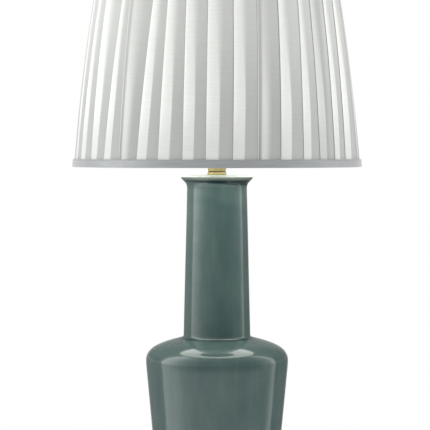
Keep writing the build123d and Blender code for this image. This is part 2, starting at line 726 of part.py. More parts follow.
def arm_openings(shape):
    """Cut the slits where the arms of the spider pass through to the top ring."""
    outer = ring_centre(RING_HIGH_Z)
    inner = outer - 4 * RING_WIRE_R - TRIM_INNER_T
    for turn in ARM_TURNS:
        start, end = polar(inner, turn), polar(outer, turn)
        shape -= rod(ARM_R + CLOTH_GAP, (*start, RING_HIGH_Z), (*end, RING_HIGH_Z))
    return shape


def shade_lining():
    return arm_openings(side_band(LINING_INSET, LINING_T, COVER_LOW, COVER_HIGH))


def ring_centre(height):
    return frame_radius(height) - RING_WIRE_R - CLOTH_GAP


def wire_ring(height):
    return Pos(0, 0, height) * Torus(ring_centre(height), RING_WIRE_R)


def shade_struts():
    """Upright wires between the two rings, bowed like the side."""
    low = RING_LOW_Z + RING_WIRE_R
    high = RING_HIGH_Z - RING_WIRE_R
    middle = (low + high) / 2
    ends = [(frame_radius(z) - 1.6 * STRUT_R, 0, z) for z in (low, middle, high)]
    path = ThreePointArc(*ends)
    strut = sweep(Plane(origin=path @ 0, z_dir=path % 0) * Circle(STRUT_R), path)
    strut &= Pos(0, 0, low + 0.2) * Box(4 * SHADE_BOTTOM_R, 20, high - low - 0.4, align=STANDING)
    first = PLEAT_PHASE - 90 + 2 * 360 / PLEATS
    turns = [first + 360 / STRUTS * n for n in range(STRUTS)]
    return Compound(children=[Rot(0, 0, turn) * strut for turn in turns])


def trim(edge_z, inwards):
    """Folded tape round an edge of the shade: outer leg, web and short inner leg.

    inwards is +1 at the bottom edge, where the legs rise, and -1 at the top edge.
    """
    far = edge_z + inwards * TRIM_H
    inner_far = edge_z + inwards * TRIM_INNER_H
    web = edge_z + inwards * TRIM_WEB
    lining = LINING_INSET + LINING_T + CLOTH_GAP

    def outside(z):
        return shade_radius(z) + CLOTH_GAP + TRIM_T

    def inside(z):
        return shade_radius(z) - lining - TRIM_INNER_T

    corner = edge_z + inwards * TRIM_ROUND
    end = far - inwards * TRIM_ROUND
    low_edge = (outside(edge_z) - TRIM_ROUND, edge_z)
    high_edge = (outside(far) - TRIM_ROUND, far)
    return turned(
        Line((inside(edge_z), edge_z), low_edge),
        Bezier(low_edge, (outside(edge_z), edge_z), (outside(corner), corner)),
        Line((outside(corner), corner), (outside(end), end)),
        Bezier((outside(end), end), (outside(far), far), high_edge),
        Polyline(
            high_edge,
            (shade_radius(far) + CLOTH_GAP, far),
            (shade_radius(web) + CLOTH_GAP, web),
            (shade_radius(web) - lining, web),
            (shade_radius(inner_far) - lining, inner_far),
            (inside(inner_far), inner_far),
            (inside(edge_z), edge_z),
        ),
    )


def spider_hub():
    hub = ring(HUB_R, STUD_R + HUB_GAP, HUB_Z, HUB_Z + HUB_T)
    return fillet(hub.edges().filter_by(GeomType.CIRCLE).sort_by(SortBy.RADIUS)[-2:], HUB_ROUND)


def spider_arms():
    """Wires from the hub out and up to the top ring."""
    hub_mid = HUB_Z + HUB_T / 2
    ring_inside = ring_centre(RING_HIGH_Z) - RING_WIRE_R
    path = FilletPolyline(
        (HUB_R, 0, hub_mid),
        (HUB_R + ARM_BEND, 0, hub_mid),
        (ring_inside - ARM_BEND, 0, RING_HIGH_Z),
        (ring_inside, 0, RING_HIGH_Z),
        radius=ARM_BEND,
    )
    arm = sweep(Plane(origin=path @ 0, z_dir=path % 0) * Circle(ARM_R), path)
    return Compound(children=[Rot(0, 0, turn) * arm for turn in ARM_TURNS])


def finial():
    """Turned brass knob on the stud, which clamps the shade's hub."""
    low = HUB_Z + HUB_T
    ball_z = low + FINIAL_H - FINIAL_BALL_R
    top = low + FINIAL_H
    ball_foot = (FINIAL_BALL_R * cos(pi / 3), ball_z - FINIAL_BALL_R * sin(pi / 3))
    bore = STUD_R + FINIAL_BORE_GAP
    bore_top = HUB_Z + STUD_H + 1.0
    rim, step = low + FINIAL_FOOT_H, low + FINIAL_FOOT_H + 1.2
    ledge = FINIAL_FOOT_R * 0.8
    waist = (FINIAL_WAIST_R, step + 1.8)
    throat = (FINIAL_WAIST_R + 0.4, ball_foot[1] - 2.0)
    return turned(
        Polyline((bore, low), (FINIAL_FOOT_R, low), (FINIAL_FOOT_R, rim), (ledge, step)),
        Bezier((ledge, step), waist, throat, ball_foot),
        ThreePointArc(ball_foot, (FINIAL_BALL_R, ball_z), (0, top)),
        Line((0, top), (0, bore_top)),
        Polyline((0, bore_top), (bore, bore_top), (bore, low)),
    )


# ----------------------------------------------------------------------- write

PIECES = {
    "base_felt": base_felt,
    "vase_body": vase_body,
    "cord_bushing": cord_bushing,
    "lamp_pipe": lamp_pipe,
    "brass_neck": brass_neck,
    "harp_saddle": harp_saddle,
    "harp_wire": harp_wire,
    "ferrule_left": lambda: ferrule(-1),
    "ferrule_right": lambda: ferrule(1),
    "harp_yoke": harp_yoke,
    "harp_stud": harp_stud,
    "socket_cap": socket_cap,
    "cap_set_screw": cap_set_screw,
    "socket_shell": socket_shell,
    "shell_liner": shell_liner,
    "socket_interior": socket_interior,
    "terminal_screws": terminal_screws,
    "screw_shell": screw_shell,
    "centre_contact": centre_contact,
    "switch_rotor": switch_rotor,
    "switch_shaft": switch_shaft,
    "switch_knob": switch_knob,
    "bulb_contact": bulb_contact,
    "bulb_insulator": bulb_insulator,
    "bulb_cap": bulb_cap,
    "bulb_glass": bulb_glass,
    "shade_cover": shade_cover,
    "shade_lining": shade_lining,
    "bottom_ring": lambda: wire_ring(RING_LOW_Z),
    "top_ring": lambda: wire_ring(RING_HIGH_Z),
    "shade_struts": shade_struts,
    "bottom_trim": lambda: trim(SHADE_Z, 1),
    "top_trim": lambda: arm_openings(trim(SHADE_TOP_Z, -1)),
    "spider_hub": spider_hub,
    "spider_arms": spider_arms,
    "finial": finial,
}

os.makedirs("parts", exist_ok=True)
for name, make in PIECES.items():
    save(make(), name)
for name, shape in base_stack().items():
    save(shape, name)
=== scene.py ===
"""Table lamp: a celadon-glazed bottle vase under a knife-pleated shade, with its harp,
socket, bulb and turned brass finial. Metres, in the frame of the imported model."""

import random
from math import cos, dist, pi, radians, sin

import bmesh
import bpy
from mathutils import Matrix, Vector


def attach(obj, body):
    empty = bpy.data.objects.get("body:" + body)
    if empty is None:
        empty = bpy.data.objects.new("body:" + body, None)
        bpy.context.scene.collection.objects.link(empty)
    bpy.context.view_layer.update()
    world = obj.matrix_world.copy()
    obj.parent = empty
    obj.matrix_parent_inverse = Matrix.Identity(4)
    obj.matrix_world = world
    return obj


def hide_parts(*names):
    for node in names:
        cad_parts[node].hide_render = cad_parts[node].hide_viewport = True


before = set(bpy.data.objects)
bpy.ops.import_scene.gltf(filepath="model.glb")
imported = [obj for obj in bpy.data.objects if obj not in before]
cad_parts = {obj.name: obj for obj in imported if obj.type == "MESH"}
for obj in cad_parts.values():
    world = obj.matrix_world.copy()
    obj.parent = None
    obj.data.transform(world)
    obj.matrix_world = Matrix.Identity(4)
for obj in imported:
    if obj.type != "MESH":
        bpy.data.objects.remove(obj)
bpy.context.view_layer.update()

MM = 0.001

# ---------- sizes (mm, heights from the table)

# vase: its foot, widest place, root of the neck, mouth, and the top of its closed crown
FOOT_Z, BELLY_Z, ROOT_Z, MOUTH_Z, CROWN_Z = 2.0, 172.4, 205.0, 431.5, 433.0
FOOT_R, BODY_R, ROOT_R, TOP_R, LIP_R = 84.7, 99.9, 46.9, 42.2, 50.7
RECESS_Z, FOOT_RING_W, PIPE_HOLE_R = 26.0, 12.0, 5.5
CORD_HOLE_Z, BUSHING_HOLE_R = 14.0, 5.5
FELT_R, FELT_T = FOOT_R - 4.0, 2.0

# brass neck, and the saddle of the harp on top of it
SADDLE_Z = 450.7
TUBE_R, BEAD_R, TUBE_WALL = 12.6, 13.5, 1.0
HARP_FOOT_X, FERRULE_LOW, FERRULE_TOP = 28.0, 456.8, 469.8

# shade
SHADE_Z, SHADE_H = 444.5, 298.0
SHADE_BOTTOM_R, SHADE_TOP_R, SHADE_BOW = 200.5, 161.5, 3.9
COVER_LOW, COVER_HIGH = 445.5, 741.5
PLEATS, PLEAT_ROWS, PLEAT_PHASE, OVERLAP = 36, 34, -3.7, 0.47
LAYER_GAP, COVER_T, LINING_T, LINING_INSET = 0.23, 0.15, 0.5, 7.45

# stud, finial, switch and bulb
SEAT_Z, HUB_Z = 729.7, 732.1
FINIAL_Z, FINIAL_H, BALL_R = 733.6, 30.0, 9.0
SWITCH_Z, KNOB_R, KNOB_L, KNOB_REACH = 479.3, 5.5, 13.0, 36.0
CAP_Z, CAP_H, CAP_R = 494.3, 22.0, 13.1
BULB_TIP_Z, BULB_H, BULB_R, BULB_GLASS = 490.8, 108.0, 30.0, 1.0

# The folds of the front from its left edge to its right one: the angle from straight
# ahead at the bottom, and how far the fold leans to the right on its way up, in degrees.
FRONT_FOLDS = [
    (-78.4, -1.8), (-69.0, 0.3), (-58.7, -1.5), (-49.3, 3.7), (-41.2, -1.0), (-31.9, 4.5),
    (-22.8, 1.3), (-13.2, -0.4), (-4.3, 0.6), (5.9, 1.8), (15.5, 2.9), (25.0, 3.5),
    (35.3, 4.0), (43.5, 2.4), (52.8, 3.1), (60.9, 5.7), (75.1, 3.0),
]
FIRST_FOLD = 8  # place in that list of the fold nearest to straight ahead
PANEL_FOLD = 2  # a fold where two widths of cloth meet, and then every sixth
PANEL_PLEATS = 6
# the pleat at this fold is darkened with painted shade
LOOSE_FOLD = 13  # place in the list of the fold that is not pressed as flat as the others
LEAN_FROM = 0.09  # share of the shade's height at which the angles were taken


def shade_radius(z):
    share = (z - SHADE_Z) / SHADE_H
    straight = SHADE_BOTTOM_R + share * (SHADE_TOP_R - SHADE_BOTTOM_R)
    return straight + 4 * SHADE_BOW * share * (1 - share)


# ---------- nodes as arithmetic


class Wire:
    """One output of a node. It can be added, multiplied and so on like a number."""

    def __init__(self, nodes, socket):
        self.nodes, self.socket = nodes, socket

    def out(self, name):
        return Wire(self.nodes, self.nodes.pick(self.socket.node.outputs, name))


def operator(operation, swapped):
    def work(self, other):
        return self.nodes.maths(operation, *((other, self) if swapped else (self, other)))

    return work


for sign, operation in (
    ("add", "ADD"), ("sub", "SUBTRACT"), ("mul", "MULTIPLY"), ("truediv", "DIVIDE"),
    ("pow", "POWER"), ("mod", "FLOORED_MODULO"),
):
    setattr(Wire, f"__{sign}__", operator(operation, swapped=False))
    setattr(Wire, f"__r{sign}__", operator(operation, swapped=True))


class Nodes:
    """The nodes of one material, world or geometry tree."""

    def __init__(self, tree):
        self.tree = tree

    @staticmethod
    def pick(sockets, name):
        if isinstance(name, int):
            return sockets[name]
        return next(s for s in sockets if s.name == name and s.enabled)

    def node(self, kind, sockets=None, output=0, **settings):
        """Add a node: first its settings, then the values or links of its sockets."""
        made = self.tree.nodes.new(kind)
        for name, value in settings.items():
            if name == "stops":
                ramp = made.color_ramp.elements
                while len(ramp) < len(value):
                    ramp.new(0.5)
                for element, (place, colour) in zip(ramp, value):
                    element.position, element.color = place, (*colour, 1.0)
            else:
                setattr(made, name, value)
        for name, value in (sockets or {}).items():
            socket = self.pick(made.inputs, name)
            if isinstance(value, Wire):
                self.tree.links.new(value.socket, socket)
            elif isinstance(value, tuple) and len(value) == 3 and socket.type == "RGBA":
                socket.default_value = (*value, 1.0)
            else:
                socket.default_value = value
        return Wire(self, self.pick(made.outputs, output)) if made.outputs else made

    def maths(self, operation, *values, clamp=False):
        inputs = dict(enumerate(values))
        return self.node("ShaderNodeMath", inputs, operation=operation, use_clamp=clamp)

    def clamp(self, value):
        return self.maths("ADD", value, 0.0, clamp=True)

    def smooth(self, low, high, value):
        """0 below low, 1 above high, eased between."""
        inputs = {"Value": value, "From Min": low, "From Max": high}
        return self.node("ShaderNodeMapRange", inputs, interpolation_type="SMOOTHSTEP")

    def band(self, start, full, full_end, end, value):
        """1 between full and full_end, eased to 0 at start and at end."""
        return self.smooth(start, full, value) * self.smooth(end, full_end, value)

    def mix(self, share, first, second):
        """Blend of two colours."""
        inputs = {0: share, 6: first, 7: second}
        return self.node("ShaderNodeMix", inputs, output=2, data_type="RGBA")

    def vector(self, x, y, z):
        return self.node("ShaderNodeCombineXYZ", {0: x, 1: y, 2: z})

    def scaled(self, vector, factor):
        """A vector or colour multiplied part by part."""
        return self.node("ShaderNodeVectorMath", {0: vector, 1: factor}, operation="MULTIPLY")

    def tint(self, colour, amount):
        """A colour multiplied by a grey amount."""
        return self.scaled(colour, self.vector(amount, amount, amount))

    def split(self, vector):
        parts = self.node("ShaderNodeSeparateXYZ", {0: vector})
        return parts, parts.out("Y"), parts.out("Z")

    def noise(self, vector, scale, stretch=(1, 1, 1), detail=3.0, roughness=0.55):
        """Noise between about 0 and 1, with its grain stretched along the axes."""
        placed = self.scaled(vector, stretch)
        sockets = {"Vector": placed, "Scale": scale, "Detail": detail, "Roughness": roughness}
        return self.node("ShaderNodeTexNoise", sockets)

    def mark(self, label):
        """A number that the mesh carries."""
        return self.node("ShaderNodeAttribute", output="Fac", attribute_name=label)

    def bump(self, height, distance, strength=1.0, under=None):
        sockets = {"Height": height, "Distance": distance, "Strength": strength}
        if under is not None:
            sockets["Normal"] = under
        return self.node("ShaderNodeBump", sockets)


FINISHES = {}


class Finish(Nodes):
    """A material made of nodes, laid out on the lamp's own coordinates in metres."""

    def __init__(self, name):
        self.material = FINISHES[name] = bpy.data.materials.new(name)
        self.material.use_nodes = True
        super().__init__(self.material.node_tree)
        self.tree.nodes.clear()
        self.place = self.node("ShaderNodeTexCoord", output="Object")
        self.cloth = self.place.out("UV")

    def surface(self, **sockets):
        named = {name.replace("_", " "): value for name, value in sockets.items()}
        shader = self.node("ShaderNodeBsdfPrincipled", named)
        self.node("ShaderNodeOutputMaterial", {"Surface": shader})

    def light(self, **sockets):
        """A shader that only shines."""
        return self.node("ShaderNodeEmission", sockets)


# ---------- finishes


def celadon_glaze():
    """Grey-green glaze over pale stoneware: thin and pale on the rim with a painted highlight,
    bare under the foot.
    """
    f = Finish("celadon_glaze")
    x, y, z = f.split(f.place)
    off_axis = f.maths("SQRT", x * x + y * y)
    cloud = f.noise(f.place, 22.0, (1, 1, 0.55), 4.0)
    run = f.noise(f.place, 95.0, (1, 1, 0.12), 3.0)
    speck = f.noise(f.place, 900.0, detail=1.0)

    # where each layer lies: a darker band high on the neck, falling to the right; painted light
    # on the shoulder, which faces up; and darker glaze under the lip and in the corner at the
    # root of the neck, where thick glaze gathers and painted shade falls
    neck_dark_band = f.band(0.381, 0.392, 0.393, 0.404, z + x * 0.29 + (cloud - 0.5) * 0.012)
    shoulder = f.band(0.176, 0.189, 0.200, 0.209, z)
    under_lip = f.smooth(0.4200, 0.4222, z + x * 0.07) * f.smooth(0.4270, 0.4252, z)
    root = f.band(0.0482, 0.0495, 0.0525, 0.0545, off_axis) * f.smooth(0.20, 0.2025, z)
    pooled_glaze_and_shade = f.maths("MAXIMUM", under_lip * 0.95, root * f.smooth(0.25, 0.21, z) * 0.8)
    # the rim is paler: thin glaze on its edge, and a painted highlight growing lighter towards
    # its top
    rim = f.smooth(0.4248, 0.4272, z + (cloud - 0.5) * 0.0012)
    rim_tone_and_highlight = f.mix(f.smooth(0.4275, 0.4310, z), (0.084, 0.106, 0.090), (0.190, 0.224, 0.190))
    glaze = f.mix(f.smooth(0.25, 0.75, cloud), (0.038, 0.072, 0.068), (0.058, 0.099, 0.092))
    for share, tone in (
        (f.smooth(0.42, 0.75, run) * 0.35, (0.074, 0.118, 0.108)),
        (f.smooth(0.70, 0.76, speck) * 0.25, (0.03, 0.06, 0.055)),
        (neck_dark_band * 0.45, (0.030, 0.068, 0.064)),
        # painted light on the shoulder, then painted shade together with thick glaze under the
        # lip and at the root
        (shoulder * 0.35, (0.100, 0.150, 0.138)),
        (pooled_glaze_and_shade, (0.008, 0.024, 0.021)),
        (rim, rim_tone_and_highlight),
    ):
        glaze = f.mix(share, glaze, tone)

    # bare clay on the foot ring and in the hollow under the foot
    foot_ring = f.smooth(0.0052, 0.0034, z)
    hollow = f.smooth(0.0735, 0.0715, off_axis) * f.smooth(0.05, 0.03, z)
    bare = f.maths("MAXIMUM", foot_ring, hollow)
    clay = f.mix(f.noise(f.place, 1400.0, detail=2.0), (0.44, 0.37, 0.29), (0.60, 0.53, 0.44))

    crown = f.smooth(0.4314, 0.4318, z)
    ripple = f.bump(f.noise(f.place, 16.0, (1, 1, 3.0), 1.0), 0.0007, 0.35)
    f.surface(
        Base_Color=f.mix(bare, glaze, clay),
        Roughness=0.09 + bare * 0.75 + speck * 0.04 + crown * 0.66,
        IOR=1.52,
        Normal=f.bump(f.noise(f.place, 130.0, detail=1.0), 0.00012, 0.3, ripple),
    )


def silk_weave(f, weft, warp):
    """Slubs that run across the cloth and the fine threads between them."""
    slub = f.noise(f.cloth, 1.0, (38.0, 1150.0, 1.0), 2.0, 0.6)
    long_slub = f.noise(f.cloth, 1.0, (14.0, 420.0, 1.0), 2.0, 0.5)
    u, v, _ = f.split(f.cloth)
    across = f.maths("SINE", v * (2 * pi / weft))
    along = f.maths("SINE", u * (2 * pi / warp))
    return slub, long_slub, across, along


def pleated_silk():
    """White slub silk whose tones are painted light: brighter where a pleat lies three deep,
    greyer where the single layer lets the dim inside show through. run is 0 at a folded edge
    and 1 where the layers under it end."""
    f = Finish("pleated_silk")
    slub, long_slub, across, along = silk_weave(f, weft=0.00052, warp=0.00044)
    run, blur, join, loose = (f.mark(label) for label in ("run", "blur", "join", "loose"))
    x, _, _ = f.split(f.place)
    _, v, _ = f.split(f.cloth)
    up = v * (1.0 / (COVER_HIGH - COVER_LOW) / MM)
    puffed = f.smooth(0.06, 0.30, up)

    # the painted bright strip narrows on its way up, most of all on the right
    right = f.smooth(0.02, 0.09, x)
    strip_end = 1.0 - 0.06 * right - (0.30 + right * 0.22) * f.smooth(0.2, 0.85, up)
    single = f.smooth(0.0, 1.0, (run - strip_end + blur * 0.5) / blur)
    # painted tones: the single layer greyer where the dim inside shows through, the three-deep
    # strip lighter, and both lighter higher up
    thin = f.mix(f.smooth(0.12, 0.75, up), (0.445, 0.455, 0.438), (0.565, 0.575, 0.553))
    deep = f.mix(puffed, (0.695, 0.706, 0.68), (0.758, 0.770, 0.742))

    # light caught by the folded edge, wide where the pleat is puffed and thin below
    wide_edge = puffed * 0.25 * f.maths("EXPONENT", -3.4 * run)
    thin_edge = (1.0 - puffed) * 0.09 * f.maths("EXPONENT", -18.0 * run)
    edge = (wide_edge + thin_edge) * (1.0 - join)
    # painted shadow beside each fold where two widths of cloth meet
    join_shadow = join * (0.09 + f.band(0.02, 0.15, 0.20, 0.45, run) * (0.46 - up * 0.25))
    # the slub tones, times the painted highlight on the folded edges, painted shade just before
    # the next fold, the joins' painted shadow and the slack pleat's painted shade
    shade = (slub - 0.5) * 0.16 + (long_slub - 0.5) * 0.10 + across * 0.012 + 1.0
    shade = shade * (1.0 + edge) * (1.0 - 0.04 * f.smooth(1.6, 2.1, run)) * (1.0 - join_shadow)
    # painted shade over the pleat that hangs slack
    shade = shade * (1.0 - loose * 0.19 * f.smooth(1.5, 0.9, run))

    from_fold = f.maths("MINIMUM", run, 1.2)
    rounding = (from_fold - from_fold * from_fold / 2.4) * 0.14 * (1.0 - join)
    weave = slub * 0.6 + long_slub * 0.6 + across * 0.12 + along * 0.10
    f.surface(
        Base_Color=f.tint(f.mix(single, deep, thin), shade),
        Roughness=0.62 + slub * 0.15,
        Specular_IOR_Level=0.35,
        Sheen_Weight=0.25,
        Sheen_Roughness=0.4,
        Normal=f.bump(weave, 0.00022, 0.6, f.bump(rounding, 16.5 * MM)),
    )


def lining_cloth():
    """Plain off-white cloth."""
    f = Finish("lining_cloth")
    slub, long_slub, across, along = silk_weave(f, weft=0.0006, warp=0.0006)
    tone = f.mix(long_slub, (0.80, 0.785, 0.75), (0.90, 0.885, 0.85))
    f.surface(
        Base_Color=f.tint(tone, 0.96 + slub * 0.06 + across * along * 0.03),
        Roughness=0.55 + slub * 0.1,
        Specular_IOR_Level=0.4,
        Sheen_Weight=0.2,
        Normal=f.bump(slub * 0.5 + across * 0.25 + along * 0.25, 0.0001, 0.5),
    )


def trim_tape():
    """Satin bias tape: fine lines along its length, a paler sheen over grey-blue."""
    f = Finish("trim_tape")
    thread = f.noise(f.cloth, 1.0, (22.0, 2600.0, 1.0), 2.0, 0.6)
    stripe = f.noise(f.cloth, 1.0, (6.0, 700.0, 1.0), 1.0, 0.5)
    tone = f.mix(f.smooth(0.3, 0.7, thread), (0.232, 0.245, 0.251), (0.336, 0.350, 0.355))
    f.surface(
        Base_Color=f.tint(tone, 0.92 + stripe * 0.16),
        Roughness=0.34 + thread * 0.12,
        Specular_IOR_Level=0.75,
        Sheen_Weight=0.8,
        Sheen_Roughness=0.45,
        Normal=f.bump(thread + stripe * 0.6, 0.00012, 0.5),
    )


def metal(name, tone, tarnish, roughness, lay=(1, 1, 1)):
    """Turned or drawn metal, with tool lines along one direction and duller patches."""
    f = Finish(name)
    lines = f.noise(f.place, 700.0, lay, 2.0)
    dull = f.smooth(0.52, 0.78, f.noise(f.place, 60.0, detail=4.0))
    f.surface(
        Base_Color=f.mix(dull * 0.6, tone, tarnish),
        Metallic=1.0,
        Roughness=roughness + dull * 0.12 + (lines - 0.5) * 0.10,
        Normal=f.bump(lines, 0.00003, 0.5),
    )


def satin_brass():
    """Brushed brass of the neck: a painted highlight on the bead, dark in the groove over it.
    """
    f = Finish("satin_brass")
    _, _, z = f.split(f.place)
    up = z / MM - CROWN_Z
    lines = f.noise(f.place, 700.0, (0.3, 0.3, 6.0), 2.0)
    dull = f.smooth(0.52, 0.78, f.noise(f.place, 60.0, detail=4.0))
    tone = f.mix(dull * 0.6, (0.42, 0.352, 0.148), (0.35, 0.29, 0.115))
    # painted highlight: the bead is lighter, where it faces up into the light
    tone = f.mix(f.smooth(3.9, 3.4, up), tone, (0.56, 0.47, 0.22))
    f.surface(
        Base_Color=f.mix(f.band(3.6, 4.2, 5.0, 5.6, up), tone, (0.15, 0.115, 0.045)),
        Metallic=0.6,
        Roughness=0.42 + (lines - 0.5) * 0.10,
        Normal=f.bump(lines, 0.00003, 0.5),
    )


def moulded(name, low, high, roughness, grain=1500.0, bump=0.00004, gloss=0.5):
    """Pressed, moulded or felted stuff: two tones in a fine grain, with its own tooth."""
    f = Finish(name)
    broad = f.noise(f.place, 45.0, detail=3.0)
    fine = f.noise(f.place, grain, detail=2.0)
    f.surface(
        Base_Color=f.mix(broad * 0.5 + fine * 0.5, low, high),
        Roughness=roughness + (fine - 0.5) * 0.2,
        Specular_IOR_Level=gloss,
        Normal=f.bump(fine, bump, 0.6),
    )


def frosted_glass():
    """Bulb glass that hides what is inside, with a soft gloss."""
    f = Finish("frosted_glass")
    dust = f.noise(f.place, 1800.0, detail=1.0)
    bloom = f.noise(f.place, 30.0, detail=2.0)
    f.surface(
        Base_Color=f.mix(bloom, (0.82, 0.82, 0.80), (0.90, 0.90, 0.885)),
        Roughness=0.24 + dust * 0.12,
        Coat_Weight=0.35,
        Coat_Roughness=0.12,
        Normal=f.bump(dust, 0.00001, 0.4),
    )


celadon_glaze()
pleated_silk()
lining_cloth()
trim_tape()
satin_brass()
frosted_glass()
for kind in (
    ("brass", (0.89, 0.77, 0.34), (0.72, 0.58, 0.24), 0.20, (0.3, 0.3, 6.0)),
    ("brass_plated_steel", (0.80, 0.67, 0.40), (0.52, 0.41, 0.24), 0.27),
    ("zinc_steel", (0.62, 0.63, 0.64), (0.42, 0.42, 0.41), 0.36),
    ("frame_wire", (0.70, 0.69, 0.66), (0.50, 0.48, 0.44), 0.40),
    ("shell_metal", (0.78, 0.68, 0.46), (0.55, 0.46, 0.28), 0.30, (0.3, 0.3, 5.0)),
    ("solder", (0.66, 0.66, 0.67), (0.45, 0.45, 0.46), 0.34),
):
    metal(*kind)
for kind in (
    ("bulb_ceramic", (0.03, 0.03, 0.035), (0.06, 0.06, 0.065), 0.25),
    ("moulded_block", (0.16, 0.11, 0.08), (0.22, 0.16, 0.12), 0.5),
    ("knob_plastic", (0.022, 0.020, 0.018), (0.045, 0.040, 0.036), 0.38),
    ("bushing_plastic", (0.16, 0.13, 0.09), (0.22, 0.18, 0.13), 0.42),
    ("liner_card", (0.36, 0.29, 0.20), (0.50, 0.42, 0.31), 0.85, 900.0, 0.00008, 0.2),
    ("felt", (0.025, 0.055, 0.035), (0.065, 0.11, 0.075), 0.95, 1100.0, 0.0006, 0.1),
    ("gasket_rubber", (0.02, 0.02, 0.02), (0.05, 0.05, 0.05), 0.7),
):
    moulded(*kind)

# ---------- mesh helpers


class Outline(list):
    """Points (radius, height) in mm. Each new run starts where the last one ended."""

    def to(self, *end, steps=1):
        """A straight run."""
        start = Vector(self[-1])
        self += [tuple(start.lerp(Vector(end), n / steps)) for n in range(1, steps + 1)]
        return self

    def bend(self, *points, steps):
        """A Bezier curve past its guiding points to the last point."""
        start = self[-1]
        for n in range(1, steps + 1):
            run = [Vector(p) for p in (start, *points)]
            while len(run) > 1:
                run = [a.lerp(b, n / steps) for a, b in zip(run, run[1:])]
            self.append(tuple(run[0]))
        return self

    def ball(self, radius, centre, start, steps):
        """An arc of a ball on the axis, from a turn up to its top."""
        for n in range(1, steps):
            turn = start + (pi / 2 - start) * n / steps
            self.append((radius * cos(turn), centre + radius * sin(turn)))
        self.append((0.0, centre + radius))
        return self


def scratch(name, mesh):
    """An object in the scene that is no finished piece, or not yet."""
    made = bpy.data.objects.new(name, mesh)
    bpy.context.scene.collection.objects.link(made)
    return made


def discard(*objects):
    for made in objects:
        bpy.data.objects.remove(made, do_unlink=True)


def piece(name, mesh, finish, body, stands_for=()):
    """Put a mesh in the scene as a finished piece of one body."""
    mesh.name = name
    made = scratch(name, mesh)
    if not mesh.materials:
        mesh.materials.append(FINISHES[finish])
    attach(made, body)
    if stands_for:
        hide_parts(*stands_for)
    return made


def turned(outline, around=96, closed=False, wobble=None):
    """Mesh of an outline turned about Z, with its cloth coordinates in metres. wobble
    gives the radius to add at (radius, height, angle)."""
    mesh = bmesh.new()
    uv = mesh.loops.layers.uv.new("UVMap")
    rings = []
    for radius, height in outline:
        if radius < 1e-6:
            rings.append([mesh.verts.new((0, 0, height * MM))] * around)
            continue
        ring = []
        for k in range(around):
            angle = 2 * pi * k / around
            out = radius + (wobble(radius, height, angle) if wobble else 0.0)
            corner = (out * cos(angle) * MM, out * sin(angle) * MM, height * MM)
            ring.append(mesh.verts.new(corner))
        rings.append(ring)
    if closed:
        rings.append(rings[0])
    points, runs = [*outline, outline[0]], [0.0]
    for before, after in zip(points, points[1:]):
        runs.append(runs[-1] + dist(before, after))
    for low in range(len(rings) - 1):
        high = low + 1
        width = max(points[low][0], points[high][0]) * 2 * pi * MM
        for k in range(around):
            # on the axis two corners fall together, and the face has three
            corners = {}
            for ring, turn in ((low, k), (low, k + 1), (high, k + 1), (high, k)):
                corners.setdefault(rings[ring][turn % around], (ring, turn))
            if len(corners) < 3:
                continue
            face = mesh.faces.new(list(corners))
            face.smooth = True
            for loop, (ring, turn) in zip(face.loops, corners.values()):
                loop[uv].uv = (turn / around * width, runs[ring] * MM)
    bmesh.ops.recalc_face_normals(mesh, faces=mesh.faces)
    data = bpy.data.meshes.new("turned")
    mesh.to_mesh(data)
    mesh.free()
    return data


def applied(obj):
    """The object's mesh with its modifiers worked in."""
    bpy.context.view_layer.update()
    graph = bpy.context.evaluated_depsgraph_get()
    evaluated = obj.evaluated_get(graph)
    mesh = bpy.data.meshes.new_from_object(
        evaluated, preserve_all_data_layers=True, depsgraph=graph
    )
    obj.modifiers.clear()
    return mesh


# ---------- growing by rule


class Rule(Nodes):
    """A geometry tree with named inputs."""

    def __init__(self, name, **inputs):
        super().__init__(bpy.data.node_groups.new(name, "GeometryNodeTree"))
        face = self.tree.interface
        for way in ("INPUT", "OUTPUT"):
            face.new_socket(name="Geometry", in_out=way, socket_type="NodeSocketGeometry")
        kinds = {int: "NodeSocketInt", float: "NodeSocketFloat", str: "NodeSocketMaterial"}
        self.sockets = {}
        for label, value in inputs.items():
            kind = kinds[type(value)]
            shown = label.replace("_", " ")
            socket = face.new_socket(name=shown, in_out="INPUT", socket_type=kind)
            if not isinstance(value, str):
                socket.default_value = value
            self.sockets[label] = socket
        self.entry = self.node("NodeGroupInput", output="Geometry")

    def given(self, label):
        return self.entry.out(label.replace("_", " "))

    def end(self, geometry):
        real = self.node("GeometryNodeRealizeInstances", {"Geometry": geometry})
        dress = {"Geometry": real, "Material": self.given("Finish")}
        dressed = self.node("GeometryNodeSetMaterial", dress)
        smooth = self.node("GeometryNodeSetShadeSmooth", {"Geometry": dressed})
        self.node("NodeGroupOutput", {"Geometry": smooth})
        return self

    def grow(self, finish, host=None, **values):
        """Run the rule on a host mesh and return the plain mesh."""
        seed = scratch("host", host or bpy.data.meshes.new("host"))
        modifier = seed.modifiers.new("rule", "NODES")
        modifier.node_group = self.tree
        for label, value in values.items():
            modifier[self.sockets[label].identifier] = value
        modifier[self.sockets["Finish"].identifier] = FINISHES[finish]
        mesh = applied(seed)
        discard(seed)
        return mesh


